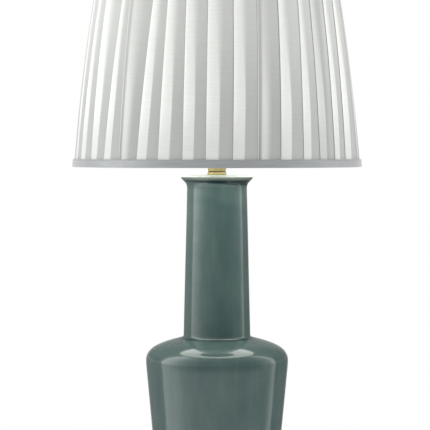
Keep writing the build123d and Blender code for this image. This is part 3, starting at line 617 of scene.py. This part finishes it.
def pleat_rule():
    """Knife pleats round a cone. Each pleat lies on top for one pitch, goes under the
    next by the overlap, turns back and comes out again as the next pleat's fold."""
    r = Rule(
        "knife_pleats", Pleats=36, Rows=34, Phase=0.0, Low=0.0, High=1.0, Edge=0.0, Height=1.0,
        Bottom_radius=1.0, Top_radius=1.0, Bow=0.0, Overlap=0.5, Layer_gap=0.001, Finish="",
    )
    pleats, rows, low = r.given("Pleats"), r.given("Rows"), r.given("Low")
    height, bottom_radius = r.given("High") - low, r.given("Bottom_radius")
    on_top, on_way, under, returning = 7, 5, 4, 5
    columns = on_top + on_way + under + returning
    size = {"Size X": 1.0, "Size Y": 1.0}
    counts = {"Vertices X": pleats * columns + 1, "Vertices Y": rows + 1}
    flat = r.node("GeometryNodeMeshGrid", size | counts)
    x, y, _ = r.split(r.node("GeometryNodeInputPosition"))
    column = (x + 0.5) * pleats * columns
    number = r.maths("FLOOR", column / columns + 0.0005)
    step = column - number * columns
    up = y + 0.5

    z = low + up * height
    share = (z - r.given("Edge")) / r.given("Height")
    straight = bottom_radius + share * (r.given("Top_radius") - bottom_radius)
    radius = straight + share * (1.0 - share) * r.given("Bow") * 4.0
    per_pleat = (r.given("Overlap") * 2.0 + 1.0) * bottom_radius
    overlap = (per_pleat / radius - 1.0) / 2.0

    def stretch(start, count):
        """0 to 1 along some of the columns of a pleat."""
        return r.clamp((step - float(start)) / float(count))

    top = stretch(0, on_top)
    way = stretch(on_top, on_way)
    hidden = stretch(on_top + on_way, under)
    back = stretch(on_top + on_way + under, returning)
    run = overlap * (top ** 1.5) + (1.0 - overlap) * way + overlap * hidden
    angle = run - overlap * back

    def at_fold(label, fold):
        """The host mesh has a point for each fold, which holds its own marks."""
        named, kind = "GeometryNodeInputNamedAttribute", {"data_type": "FLOAT"}
        value = r.node(named, {"Name": label}, "Attribute", **kind)
        sampled = {"Geometry": r.entry, "Value": value, "Index": fold % pleats}
        return r.node("GeometryNodeSampleIndex", sampled, "Value", domain="POINT", **kind)

    def between_folds(label):
        over = r.clamp(angle)
        return at_fold(label, number) * (1.0 - over) + at_fold(label, number + 1.0) * over

    sway, soft = between_folds("sway"), at_fold("soft", number)
    waver = r.maths("SINE", up * 4.2 + sway * 9.0) * sway * 0.02
    shift = between_folds("shift") + between_folds("lean") * (up - LEAN_FROM) + waver
    sunk = soft * 0.8 * (1.0 - r.smooth(0.0, 0.9, top)) * (1.0 - r.smooth(0.0, 0.1, way))
    layers = (
        2.0
        - r.smooth(0.0, 0.9, way) * 2.0
        + r.smooth(0.0, 0.3, back)
        + r.smooth(0.75, 1.0, back)
        - sunk
    )
    gap = r.given("Layer_gap") * (1.0 + up * 0.3 + sway * 0.25)
    bulge = r.maths("SINE", (top + way) * (pi / 2)) * r.maths("SINE", up * pi) * 0.35 * MM
    out = radius - gap * (2.0 - layers) + bulge - 0.15 * MM
    turn = r.given("Phase") + (number + angle + shift) / pleats * (2 * pi)
    place = r.vector(out * r.maths("COSINE", turn), out * r.maths("SINE", turn), z)

    along = (number + (run + overlap * back) / (overlap * 2.0 + 1.0)) / pleats
    cloth = r.vector(along * per_pleat * (2 * pi), up * height, 0.0)
    marked = flat
    for label, value, kind, domain in (
        ("run", run / overlap, "FLOAT", "POINT"),
        ("blur", 0.05 + r.smooth(0.25, 0.7, up) * 0.6 + soft * 0.7, "FLOAT", "POINT"),
        ("join", r.smooth(0.5, 0.9, soft), "FLOAT", "POINT"),
        ("loose", at_fold("loose", number), "FLOAT", "POINT"),
        ("UVMap", cloth, "FLOAT2", "CORNER"),
    ):
        stored = {"Geometry": marked, "Name": label, "Value": value}
        settings = {"data_type": kind, "domain": domain}
        marked = r.node("GeometryNodeStoreNamedAttribute", stored, **settings)
    shaped = r.node("GeometryNodeSetPosition", {"Geometry": marked, "Position": place})
    joined = {"Geometry": shaped, "Distance": 0.00001}
    return r.end(r.node("GeometryNodeMergeByDistance", joined))


def thread_rule():
    """One ridge that winds up a screw, from a round wire or a sharp one."""
    r = Rule(
        "screw_thread", Turns=4.0, Pitch=1.0, Radius=1.0, Ridge=0.1, Start=0.0, Per_turn=48,
        Sides=8, Finish="",
    )
    winding = {
        "Resolution": r.given("Per turn"),
        "Rotations": r.given("Turns"),
        "Start Radius": r.given("Radius"),
        "End Radius": r.given("Radius"),
        "Height": r.given("Turns") * r.given("Pitch"),
    }
    spiral = r.node("GeometryNodeCurveSpiral", winding)
    profile = {"Resolution": r.given("Sides"), "Radius": r.given("Ridge")}
    ridge = r.node("GeometryNodeCurvePrimitiveCircle", profile)
    swept = {"Curve": spiral, "Profile Curve": ridge, "Fill Caps": True}
    wound = r.node("GeometryNodeCurveToMesh", swept)
    lift = {"Geometry": wound, "Translation": r.vector(0.0, 0.0, r.given("Start"))}
    return r.end(r.node("GeometryNodeTransform", lift))


def rib_rule():
    """Ribs that stand round a knob, along its axis."""
    r = Rule(
        "knob_ribs", Ribs=24, Radius=1.0, Rib=0.1, Length=1.0, Middle=0.0, Height=0.0, Finish=""
    )
    circle = {"Vertices": r.given("Ribs"), "Radius": r.given("Radius")}
    ring = r.node("GeometryNodeMeshCircle", circle)
    rod = {"Vertices": 8, "Radius": r.given("Rib"), "Depth": r.given("Length")}
    rib = r.node("GeometryNodeMeshCylinder", rod)
    set_up = {"Points": ring, "Instance": rib.out("Mesh")}
    ribs = r.node("GeometryNodeInstanceOnPoints", set_up)
    real = r.node("GeometryNodeRealizeInstances", {"Geometry": ribs})
    place = r.vector(0.0, r.given("Middle"), r.given("Height"))
    forward = {"Geometry": real, "Translation": place, "Rotation": (pi / 2, 0.0, 0.0)}
    return r.end(r.node("GeometryNodeTransform", forward))


# ---------- vase


def vase():
    """Bottle vase, closed at the mouth by its slightly domed crown, hollow under the foot."""
    inner = FOOT_R - FOOT_RING_W
    shoulder, pitch = (ROOT_R + 4.1, ROOT_Z - 0.95), radians(14.0)
    reach, rise = 0.68 * (BODY_R - shoulder[0]), 0.53 * (shoulder[1] - BELLY_Z)
    leave = (shoulder[0] + reach * cos(pitch), shoulder[1] - reach * sin(pitch))

    o = Outline([(PIPE_HOLE_R, RECESS_Z)]).to(inner - 2.0, RECESS_Z, steps=6)
    o.bend((inner, RECESS_Z), (inner, RECESS_Z - 2.0), steps=4)
    o.to(inner, FOOT_Z + 1.0, steps=6)
    o.bend((inner, FOOT_Z), (inner + 1.0, FOOT_Z), steps=3)
    o.to(FOOT_R - 2.6, FOOT_Z, steps=3)
    o.bend((FOOT_R - 0.5, FOOT_Z), (FOOT_R - 0.3, FOOT_Z + 2.2), steps=5)
    # the glaze stops in a small roll over the foot
    o.bend((FOOT_R - 0.2, FOOT_Z + 3.0), (FOOT_R + 0.25, FOOT_Z + 3.2), steps=3)
    o.bend((FOOT_R + 0.5, FOOT_Z + 4.2), (FOOT_R + 0.25, FOOT_Z + 6.0), steps=4)
    o.to(BODY_R - 0.4, BELLY_Z - 9.0, steps=44)
    o.bend((BODY_R, BELLY_Z - 4.5), (BODY_R, BELLY_Z), steps=8)
    o.bend((BODY_R, BELLY_Z + rise), leave, shoulder, steps=44)
    o.bend((ROOT_R, ROOT_Z), (ROOT_R, ROOT_Z + 3.5), steps=10)
    o.to(TOP_R, MOUTH_Z - 17.5, steps=40)
    # lip: flare, rounded edge and the rise to the crown
    o.bend((TOP_R, MOUTH_Z - 12.5), (TOP_R + 2.4, MOUTH_Z - 9.4), steps=10)
    o.to(LIP_R - 1.0, MOUTH_Z - 4.2, steps=5)
    o.bend((LIP_R, MOUTH_Z - 2.4), (LIP_R, MOUTH_Z - 1.4), steps=5)
    o.bend((LIP_R, MOUTH_Z), (LIP_R - 2.0, MOUTH_Z), steps=6)
    o.bend((LIP_R - 6.0, CROWN_Z - 0.3), (LIP_R - 24.0, CROWN_Z), steps=10)
    o.to(PIPE_HOLE_R, CROWN_Z, steps=12)
    o.to(PIPE_HOLE_R, RECESS_Z, steps=20).pop()

    def thrown(radius, height, angle):
        """The slow unevenness that a thrown and trimmed pot keeps."""
        if radius < 30.0:
            return 0.0
        return 0.12 * sin(2 * angle + height * 0.011) + 0.07 * sin(3 * angle - height * 0.03)

    body = scratch("vase_blank", turned(o, 224, closed=True, wobble=thrown))
    rod = [(0, -18), (BUSHING_HOLE_R, -18), (BUSHING_HOLE_R, 18), (0, 18)]
    drill = scratch("cord_drill", turned(rod, 48))
    through_wall = Matrix.Translation((0, 0.0785, CORD_HOLE_Z * MM))
    drill.data.transform(through_wall @ Matrix.Rotation(pi / 2 + 0.0935, 4, "X"))
    cut = body.modifiers.new("cord_hole", "BOOLEAN")
    cut.operation, cut.solver, cut.object = "DIFFERENCE", "EXACT", drill
    done = applied(body)
    discard(body, drill)
    return piece("vase_glazed", done, "celadon_glaze", "lamp_base", ["vase_body"])


# ---------- shade and cloth


def fold_marks():
    """A point for each fold: how far it stands from an even spacing and how it leans, both
    in shares of the pitch, how it sways, how soft it is, and whether it hangs slack, which the
    silk shows only as painted shade."""
    dice = random.Random(11)
    mesh = bpy.data.meshes.new("fold_marks")
    mesh.from_pydata([(n, 0, 0) for n in range(PLEATS)], [], [])
    labels = ("shift", "lean", "sway", "soft", "loose")
    for label in labels:
        mesh.attributes.new(label, "FLOAT", "POINT")
    shift, lean, sway, soft, loose = (mesh.attributes[label].data for label in labels)
    pitch, shown = 360.0 / PLEATS, len(FRONT_FOLDS)
    first, last = FRONT_FOLDS[0][0], FRONT_FOLDS[-1][0]
    hidden_pitch = (360.0 - last + first) / (PLEATS - shown + 1)
    for n in range(PLEATS):
        front = (n + FIRST_FOLD) % PLEATS
        even = PLEAT_PHASE + (front - FIRST_FOLD) * pitch
        if front < shown:
            angle, leaning = FRONT_FOLDS[front]
            loose[n].value = float(front == LOOSE_FOLD)
        else:
            angle = last + (front - shown + 1) * hidden_pitch + dice.uniform(-0.6, 0.6)
            leaning = dice.uniform(0.0, 2.5)
        shift[n].value, lean[n].value = (angle - even) / pitch, leaning / pitch
        sway[n].value = dice.uniform(-1, 1)
        joined = n % PANEL_PLEATS == PANEL_FOLD
        soft[n].value = 1.0 if joined else dice.choice([0.0, 0.0, 0.15])
    return mesh


def cover():
    """Pleated silk between the two rings."""
    mesh = pleat_rule().grow(
        "pleated_silk", fold_marks(), Pleats=PLEATS, Rows=PLEAT_ROWS,
        Phase=radians(PLEAT_PHASE - 90.0), Low=COVER_LOW * MM, High=COVER_HIGH * MM,
        Edge=SHADE_Z * MM, Height=SHADE_H * MM, Bottom_radius=SHADE_BOTTOM_R * MM,
        Top_radius=SHADE_TOP_R * MM, Bow=SHADE_BOW * MM, Overlap=OVERLAP,
        Layer_gap=LAYER_GAP * MM,
    )
    blank = scratch("cover_blank", mesh)
    thick = blank.modifiers.new("cloth", "SOLIDIFY")
    thick.thickness, thick.offset = COVER_T * MM, 0.0
    done = applied(blank)
    discard(blank)
    made = piece("shade_cover_pleated", done, "pleated_silk", "shade", ["shade_cover"])


def lining():
    """Plain cloth stretched inside the frame."""
    low, height = COVER_LOW + 0.1, COVER_HIGH - COVER_LOW - 0.2
    levels = [low + height * n / 40 for n in range(41)]
    outside = [(shade_radius(z) - LINING_INSET, z) for z in levels]
    inside = [(radius - LINING_T, z) for radius, z in reversed(outside)]

    def slack(radius, height, angle):
        """Loose folds that lean inwards at mid height."""
        up = (height - COVER_LOW) / (COVER_HIGH - COVER_LOW)
        wave = 0.5 + 0.5 * sin(11 * angle + 2.0 * sin(3 * angle) + 1.3 * up)
        return -1.3 * wave * sin(pi * up) ** 1.5

    mesh = turned(outside + inside, 288, True, slack)
    made = piece("shade_lining_cloth", mesh, "lining_cloth", "shade", ["shade_lining"])


def tape(name, edge_z, inwards, node):
    """Bias tape folded over an edge of the shade, its end lapped at the back. The section
    is drawn as (distance out from the cover, distance in from the edge)."""
    high = 11.0
    o = Outline([(1.9, 0.0)])
    o.bend((2.6, 0.0), (2.62, 0.9), steps=5)
    o.to(2.55, 4.5, steps=4).to(2.6, 9.2, steps=5)
    o.bend((2.45, 9.7), (2.1, 9.9), steps=3)
    o.bend((2.5, 10.1), (2.4, 10.6), steps=3)
    o.bend((2.2, high), (1.5, high), steps=4)
    o.to(0.16, high - 0.3, steps=2).to(0.16, 1.3, steps=5)
    o.bend((0.1, 1.0), (-0.6, 1.0), steps=3)
    o.to(-8.2, 1.0, steps=4)
    o.bend((-8.75, 1.0), (-8.75, 1.6), steps=3)
    o.to(-8.75, 7.8, steps=4)
    o.bend((-9.2, 8.0), (-9.55, 7.5), steps=3)
    o.to(-9.5, 1.0, steps=4)
    o.bend((-9.4, 0.0), (-8.6, 0.0), steps=4)
    o.to(1.9, 0.0, steps=5).pop()
    levels = [(out, edge_z + inwards * rise) for out, rise in o]
    outline = [(shade_radius(z) + out, z) for out, z in levels]

    def uneven(radius, height, angle):
        """Small waves of the outer face, and the lap where the tape's ends meet."""
        outside = radius - shade_radius(height)
        if outside <= 0.0:
            return 0.0
        behind = abs((angle - pi / 2 + pi) % (2 * pi) - pi)
        lap = 0.4 if behind < 0.028 else 0.0
        wave = 0.16 * sin(9 * angle + 0.6) + 0.10 * sin(23 * angle + 0.3 * height)
        return lap + (wave + 0.05 * sin(61 * angle) if outside > 1.0 else 0.0)

    made = piece(name, turned(outline, 360, True, uneven), "trim_tape", "shade", [node])


# ---------- metal and lamp


def neck_tube():
    """Spun brass neck: rolled bead, a groove, the tube and its shelf for the saddle."""
    inner = TUBE_R - TUBE_WALL
    o = Outline([(inner, CROWN_Z), (TUBE_R, CROWN_Z)])
    o.bend((BEAD_R, CROWN_Z), (BEAD_R, CROWN_Z + 1.9), steps=8)
    o.bend((BEAD_R, CROWN_Z + 3.8), (TUBE_R - 0.45, CROWN_Z + 4.0), steps=8)
    o.bend((TUBE_R - 0.9, CROWN_Z + 4.7), (TUBE_R, CROWN_Z + 5.3), steps=5)
    o.to(TUBE_R, SADDLE_Z - 0.7, steps=12)
    o.bend((TUBE_R, SADDLE_Z), (TUBE_R - 0.7, SADDLE_Z), steps=4)
    o.to(PIPE_HOLE_R, SADDLE_Z, steps=4)
    o += [(PIPE_HOLE_R, SADDLE_Z - TUBE_WALL), (inner, SADDLE_Z - TUBE_WALL)]
    mesh = turned(o, 128, True)
    piece("brass_neck_spun", mesh, "satin_brass", "lamp_base", ["brass_neck"])


def finial_knob():
    """Turned finial: two beads, a waist and a ball, with a blind hole for the stud."""
    low, ball = FINIAL_Z, FINIAL_Z + FINIAL_H - BALL_R
    side, waist = ball - BALL_R * sin(pi / 3), BALL_R * cos(pi / 3)
    bore, bore_top = 3.3, HUB_Z + 15.0
    o = Outline([(0, bore_top), (bore, bore_top), (bore, low), (7.4, low)])
    o.bend((8.0, low), (8.0, low + 0.7), steps=4)
    o.bend((8.0, low + 2.0), (7.2, low + 2.1), steps=5)
    o.bend((6.6, low + 2.2), (6.5, low + 3.0), steps=4)
    o.bend((4.2, low + 5.0), (4.4, side - 2.2), (waist, side - 0.4), steps=14)
    o.bend((waist + 0.5, side), (waist, side + 0.2), steps=4)
    o.ball(BALL_R, ball, -pi / 3, 32)
    piece("finial_turned", turned(o, 112), "brass", "finial", ["finial"])


def stud():
    """Swivel stud: its pivot, the seat of the shade's hub and a cut thread."""
    o = Outline([(0, SEAT_Z - 2.6), (2.0, SEAT_Z - 2.6), (2.0, SEAT_Z), (6.5, SEAT_Z)])
    o.bend((7.0, SEAT_Z), (7.0, SEAT_Z + 0.6), steps=4)
    o.to(7.0, HUB_Z - 0.2, steps=2)
    o += [(6.8, HUB_Z), (2.75, HUB_Z), (2.75, HUB_Z + 13.0), (2.0, HUB_Z + 14.0)]
    o.append((0, HUB_Z + 14.0))
    piece("harp_stud_turned", turned(o, 64), "brass", "stud", ["harp_stud"])
    mesh = thread_rule().grow(
        "brass", Turns=12.0, Pitch=0.94 * MM, Radius=2.72 * MM, Ridge=0.36 * MM,
        Start=(HUB_Z + 1.4) * MM, Per_turn=40, Sides=4,
    )
    piece("harp_stud_thread", mesh, "brass", "stud")


def ferrules():
    """Sleeves with a rolled top edge that lock the harp's legs."""
    low, top, bore, wall = FERRULE_LOW, FERRULE_TOP, 1.75, 2.9
    o = Outline([(bore, low), (2.6, low)])
    o.bend((wall, low), (wall, low + 0.4), steps=3)
    o.to(wall, top - 2.4, steps=4)
    o.bend((wall, top - 2.0), (3.3, top - 1.8), steps=3)
    o.bend((3.6, top - 1.2), (3.3, top - 0.5), steps=4)
    o.bend((3.0, top), (2.5, top), steps=3)
    o.append((bore, top))
    for side, name in ((-1, "ferrule_left"), (1, "ferrule_right")):
        mesh = turned(o, 48, True)
        mesh.transform(Matrix.Translation((side * HARP_FOOT_X * MM, 0, 0)))
        piece(name + "_spun", mesh, "brass", name, [name])


def knob():
    """Moulded switch knob: a slim barrel with ribs for the fingers."""
    front, core = -KNOB_REACH, KNOB_R - 0.45
    o = Outline([(0, 0.7), (1.6, 0.7), (2.0, 0.35), (2.9, 0.0), (3.9, 0.0)])
    o.bend((core, 0.0), (core, 1.4), steps=6)
    o.to(core, 11.4, steps=6)
    o.bend((KNOB_R, 11.5), (KNOB_R, 12.2), steps=4)
    o.bend((KNOB_R, KNOB_L), (KNOB_R - 0.7, KNOB_L), steps=4)
    o.append((0, KNOB_L))
    mesh = turned(o)
    place = Matrix.Translation((0, front * MM, SWITCH_Z * MM))
    mesh.transform(place @ Matrix.Rotation(-pi / 2, 4, "X"))
    piece("switch_knob_moulded", mesh, "knob_plastic", "switch", ["switch_knob"])
    ribs = rib_rule().grow(
        "knob_plastic", Ribs=24, Radius=core * MM, Rib=0.42 * MM, Length=9.4 * MM,
        Middle=(front + 6.6) * MM, Height=SWITCH_Z * MM,
    )
    piece("switch_knob_ribs", ribs, "knob_plastic", "switch")


def bulb():
    """Frosted bulb with a rolled screw cap."""
    neck_low, neck_high = CAP_Z + CAP_H - 8.0, CAP_Z + CAP_H + 2.0
    waist, cap_top = BULB_TIP_Z + BULB_H - BULB_R, CAP_Z + CAP_H

    def side(inset):
        neck, belly = CAP_R - 0.6 - inset, BULB_R - inset
        o = Outline([(neck, neck_low)]).to(neck, neck_high, steps=3)
        o.bend((neck, neck_high + 20), (belly, waist - 26), (belly, waist), steps=28)
        return o.ball(belly, waist, 0.0, 24)

    mesh = turned([*reversed(side(BULB_GLASS)), *side(0.0)], 112)
    piece("bulb_glass_blown", mesh, "frosted_glass", "bulb", ["bulb_glass"])
    wall = CAP_R - 0.55
    o = Outline([(4.0, CAP_Z), (9.2, CAP_Z), (9.9, CAP_Z + 0.5), (11.9, CAP_Z + 2.6)])
    o.append((wall, CAP_Z + 3.4))
    o.to(wall, cap_top - 1.2, steps=12)
    o.bend((CAP_R, cap_top - 0.9), (CAP_R, cap_top - 0.2), steps=4)
    o += [(CAP_R - 0.15, cap_top), (CAP_R - 0.55, cap_top), (wall - 0.06, CAP_Z + 3.8)]
    o += [(11.6, CAP_Z + 3.2), (9.4, CAP_Z + 0.8), (4.0, CAP_Z + 0.8)]
    piece("bulb_cap_rolled", turned(o, closed=True), "zinc_steel", "bulb", ["bulb_cap"])
    mesh = thread_rule().grow(
        "zinc_steel", Turns=4.4, Pitch=3.63 * MM, Radius=12.35 * MM, Ridge=0.74 * MM,
        Start=(CAP_Z + 4.2) * MM, Per_turn=72, Sides=12,
    )
    piece("bulb_cap_thread", mesh, "zinc_steel", "bulb")


def felt_pad():
    """Felt disc under the foot, cut a little unevenly."""
    o = Outline([(0, 0.0)]).to(FELT_R - 0.6, 0.0, steps=24)
    o.bend((FELT_R, 0.0), (FELT_R, 0.7), steps=3)
    o.to(FELT_R, 1.5)
    o.bend((FELT_R, FELT_T), (FELT_R - 0.5, FELT_T), steps=3)
    o.to(0, FELT_T, steps=24)

    def cut(radius, height, angle):
        if radius <= FELT_R - 1.0:
            return 0.0
        return 0.18 * sin(31 * angle) + 0.12 * sin(57 * angle + 1)

    piece("base_felt_cut", turned(o, 160, wobble=cut), "felt", "lamp_base", ["base_felt"])


# ---------- make it all

glazed = vase()
neck_tube()
cover()
lining()
tape("bottom_trim_tape", SHADE_Z, 1, "bottom_trim")
tape("top_trim_tape", SHADE_Z + SHADE_H, -1, "top_trim")
finial_knob()
stud()
ferrules()
knob()
bulb()
felt_pad()

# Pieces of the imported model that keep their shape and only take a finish.
DRESS = {
    "zinc_steel": ("base_plate", "lock_washer", "pipe_nut", "lamp_pipe", "cap_set_screw"),
    "brass_plated_steel": (
        "harp_saddle", "harp_wire", "switch_shaft", "spider_hub", "spider_arms",
    ),
    "brass": ("harp_yoke", "terminal_screws", "centre_contact"),
    "shell_metal": ("socket_cap", "socket_shell", "screw_shell"),
    "frame_wire": ("bottom_ring", "top_ring", "shade_struts"),
    "moulded_block": ("socket_interior", "switch_rotor"),
    "gasket_rubber": ("base_gasket",),
    "bushing_plastic": ("cord_bushing",),
    "liner_card": ("shell_liner",),
    "solder": ("bulb_contact",),
    "bulb_ceramic": ("bulb_insulator",),
}
for finish, nodes in DRESS.items():
    for node in nodes:
        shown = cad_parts[node]
        shown.data.materials.clear()
        shown.data.materials.append(FINISHES[finish])

# ---------- floor, light, camera

# What a glossy surface sees round the lamp, from straight behind over the right side,
# the front and the left side: a dim room in front, bright screens at both sides and
# the white backdrop behind. Turn in degrees, brightness.
ROOM = [
    (-180, 0.8), (-168, 0.75), (-155, 0.36), (-125, 0.50), (-110, 0.60), (-108, 3.4),
    (-101, 2.6), (-93, 1.2), (-84, 0.85), (-72, 0.62), (-55, 0.40), (-35, 0.24), (-18, 0.30),
    (0, 0.46), (20, 0.66), (40, 1.05), (54, 1.45), (66, 2.2), (78, 3.3), (90, 4.1),
    (100, 4.4), (102, 1.1), (130, 0.85), (155, 0.50), (168, 0.75), (180, 0.8),
]
BRIGHTEST = 5.0
ROOM_LIGHT = 0.90  # what falls on the lamp from all round
CAMERA_PLACE, CAMERA_TILT, LENS, SENSOR = (-0.0028, -2.66, 0.4695), 88.0, 158.4, 36.0


def floor():
    """Pale floor: it keeps the lamp's shadow close by and runs out into white."""
    mesh = bpy.data.meshes.new("studio_floor")
    half = 6
    corners = [(-half, -half, 0), (half, -half, 0), (half, half, 0), (-half, half, 0)]
    mesh.from_pydata(corners, [], [(0, 1, 2, 3)])
    made = scratch("studio_floor", mesh)
    made.visible_glossy = False
    f = Finish("studio_floor")
    x, y, _ = f.split(f.place)
    away = f.maths("SQRT", x * x + y * y)
    rays = f.node("ShaderNodeLightPath", output="Is Camera Ray")
    seen = f.clamp(rays + rays.out("Is Glossy Ray") + rays.out("Is Transmission Ray"))
    paper = f.node("ShaderNodeBsdfDiffuse", {"Color": (0.90, 0.90, 0.90)})
    white = f.light(Color=(1.0, 1.0, 1.0), Strength=1.0)
    shares = {0: seen * f.smooth(0.16, 0.55, away), 1: paper, 2: white}
    mixed = f.node("ShaderNodeMixShader", shares)
    f.node("ShaderNodeOutputMaterial", {"Surface": mixed})
    mesh.materials.append(f.material)


def sky():
    """White behind the lamp and for the camera, and a studio room in reflections."""
    world = bpy.data.worlds.new("studio")
    bpy.context.scene.world = world
    world.use_nodes = True
    w = Nodes(world.node_tree)
    world.node_tree.nodes.clear()
    rays = w.node("ShaderNodeLightPath", output="Is Camera Ray")
    mirrored = w.clamp(rays.out("Is Glossy Ray") + rays.out("Is Transmission Ray"))
    x, y, z = w.split(w.node("ShaderNodeTexCoord", output="Generated"))
    turn = w.maths("ARCTAN2", -1.0 * x, -1.0 * y) / (2 * pi) + 0.5
    stops = [(degrees / 360 + 0.5, (level / BRIGHTEST,) * 3) for degrees, level in ROOM]
    around = w.node("ShaderNodeValToRGB", {"Fac": turn}, "Color", stops=stops) * BRIGHTEST

    # dimmer below the horizon, dark straight up, dimmer over the backdrop, and in front
    # the pale table top
    overhead = 1.0 - 0.85 * w.smooth(0.85, 0.90, z)
    behind = 1.0 - 0.55 * w.smooth(0.0, 0.14, z) * w.smooth(0.20, 0.40, y)
    height = (0.55 + 0.45 * w.smooth(-0.06, 0.04, z)) * overhead * behind
    table = 0.80 * w.smooth(-0.10, -0.36, z) * w.smooth(0.0, -0.35, y)
    light = ROOM_LIGHT * (1.0 - mirrored) + (around * height + table) * mirrored
    strength = rays + light * (1.0 - rays)
    shine = {"Color": (1.0, 1.0, 1.0), "Strength": strength}
    lit = w.node("ShaderNodeBackground", shine)
    w.node("ShaderNodeOutputWorld", {"Surface": lit})


def area_light(name, data, place):
    """Put a light in the scene that is not seen itself."""
    lamp = scratch(name, data)
    lamp.location = place
    lamp.visible_camera = False
    lamp.visible_glossy = False
    return lamp


def softbox(name, azimuth, radiance, width=1.5, low=0.1, high=1.9, distance=1.7):
    """Upright area light at an azimuth from the front, in degrees towards -X."""
    turn = radians(azimuth)
    data = bpy.data.lights.new(name, "AREA")
    data.shape, data.size, data.size_y = "RECTANGLE", width, high - low
    data.energy = radiance * pi * width * (high - low)
    place = (-distance * sin(turn), -distance * cos(turn), (low + high) / 2)
    lamp = area_light(name, data, place)
    aim = Vector((0, 0, lamp.location.z)) - lamp.location
    lamp.rotation_euler = aim.to_track_quat("-Z", "Y").to_euler()


def glow():
    """Soft light that comes down out of the shade on the neck and the shoulder."""
    data = bpy.data.lights.new("shade_glow", "AREA")
    data.shape, data.size, data.energy, data.color = "DISK", 0.372, 0.80, (1.0, 0.98, 0.94)
    area_light("shade_glow", data, (0.0, 0.0, (SHADE_Z + 4.0) * MM))


def bright_lining(glazed):
    """The bright inside of the shade, open at the top, as the glaze alone mirrors it."""
    levels = [SHADE_Z + 3.0 + (SHADE_H - 6.0) * n / 8 for n in range(9)]
    mesh = turned([(shade_radius(z) - 12.5, z) for z in levels])
    f = Finish("bright_lining")
    lit = f.light(Color=(1.0, 0.99, 0.95), Strength=3.8)
    clear = f.node("ShaderNodeBsdfTransparent")
    both = f.node("ShaderNodeAddShader", {0: lit, 1: clear})
    f.node("ShaderNodeOutputMaterial", {"Surface": both})
    mesh.materials.append(f.material)
    card = scratch("bright_lining", mesh)
    for ray in ("camera", "diffuse", "transmission", "volume_scatter", "shadow"):
        setattr(card, "visible_" + ray, False)
    card.light_linking.receiver_collection = bpy.data.collections.new("mirrors_the_lining")
    card.light_linking.receiver_collection.objects.link(glazed)


def camera():
    data = bpy.data.cameras.new("camera")
    data.lens, data.sensor_width, data.clip_end = LENS, SENSOR, 30.0
    made = scratch("camera", data)
    made.location = CAMERA_PLACE
    made.rotation_euler = (radians(CAMERA_TILT), 0.0, 0.0)
    bpy.context.scene.camera = made


floor()
sky()
softbox("left_fill", azimuth=84.0, radiance=1.6)
softbox("right_fill", azimuth=-82.0, radiance=1.15)
glow()
bright_lining(glazed)
camera()
bpy.context.scene.view_settings.view_transform = "Standard"
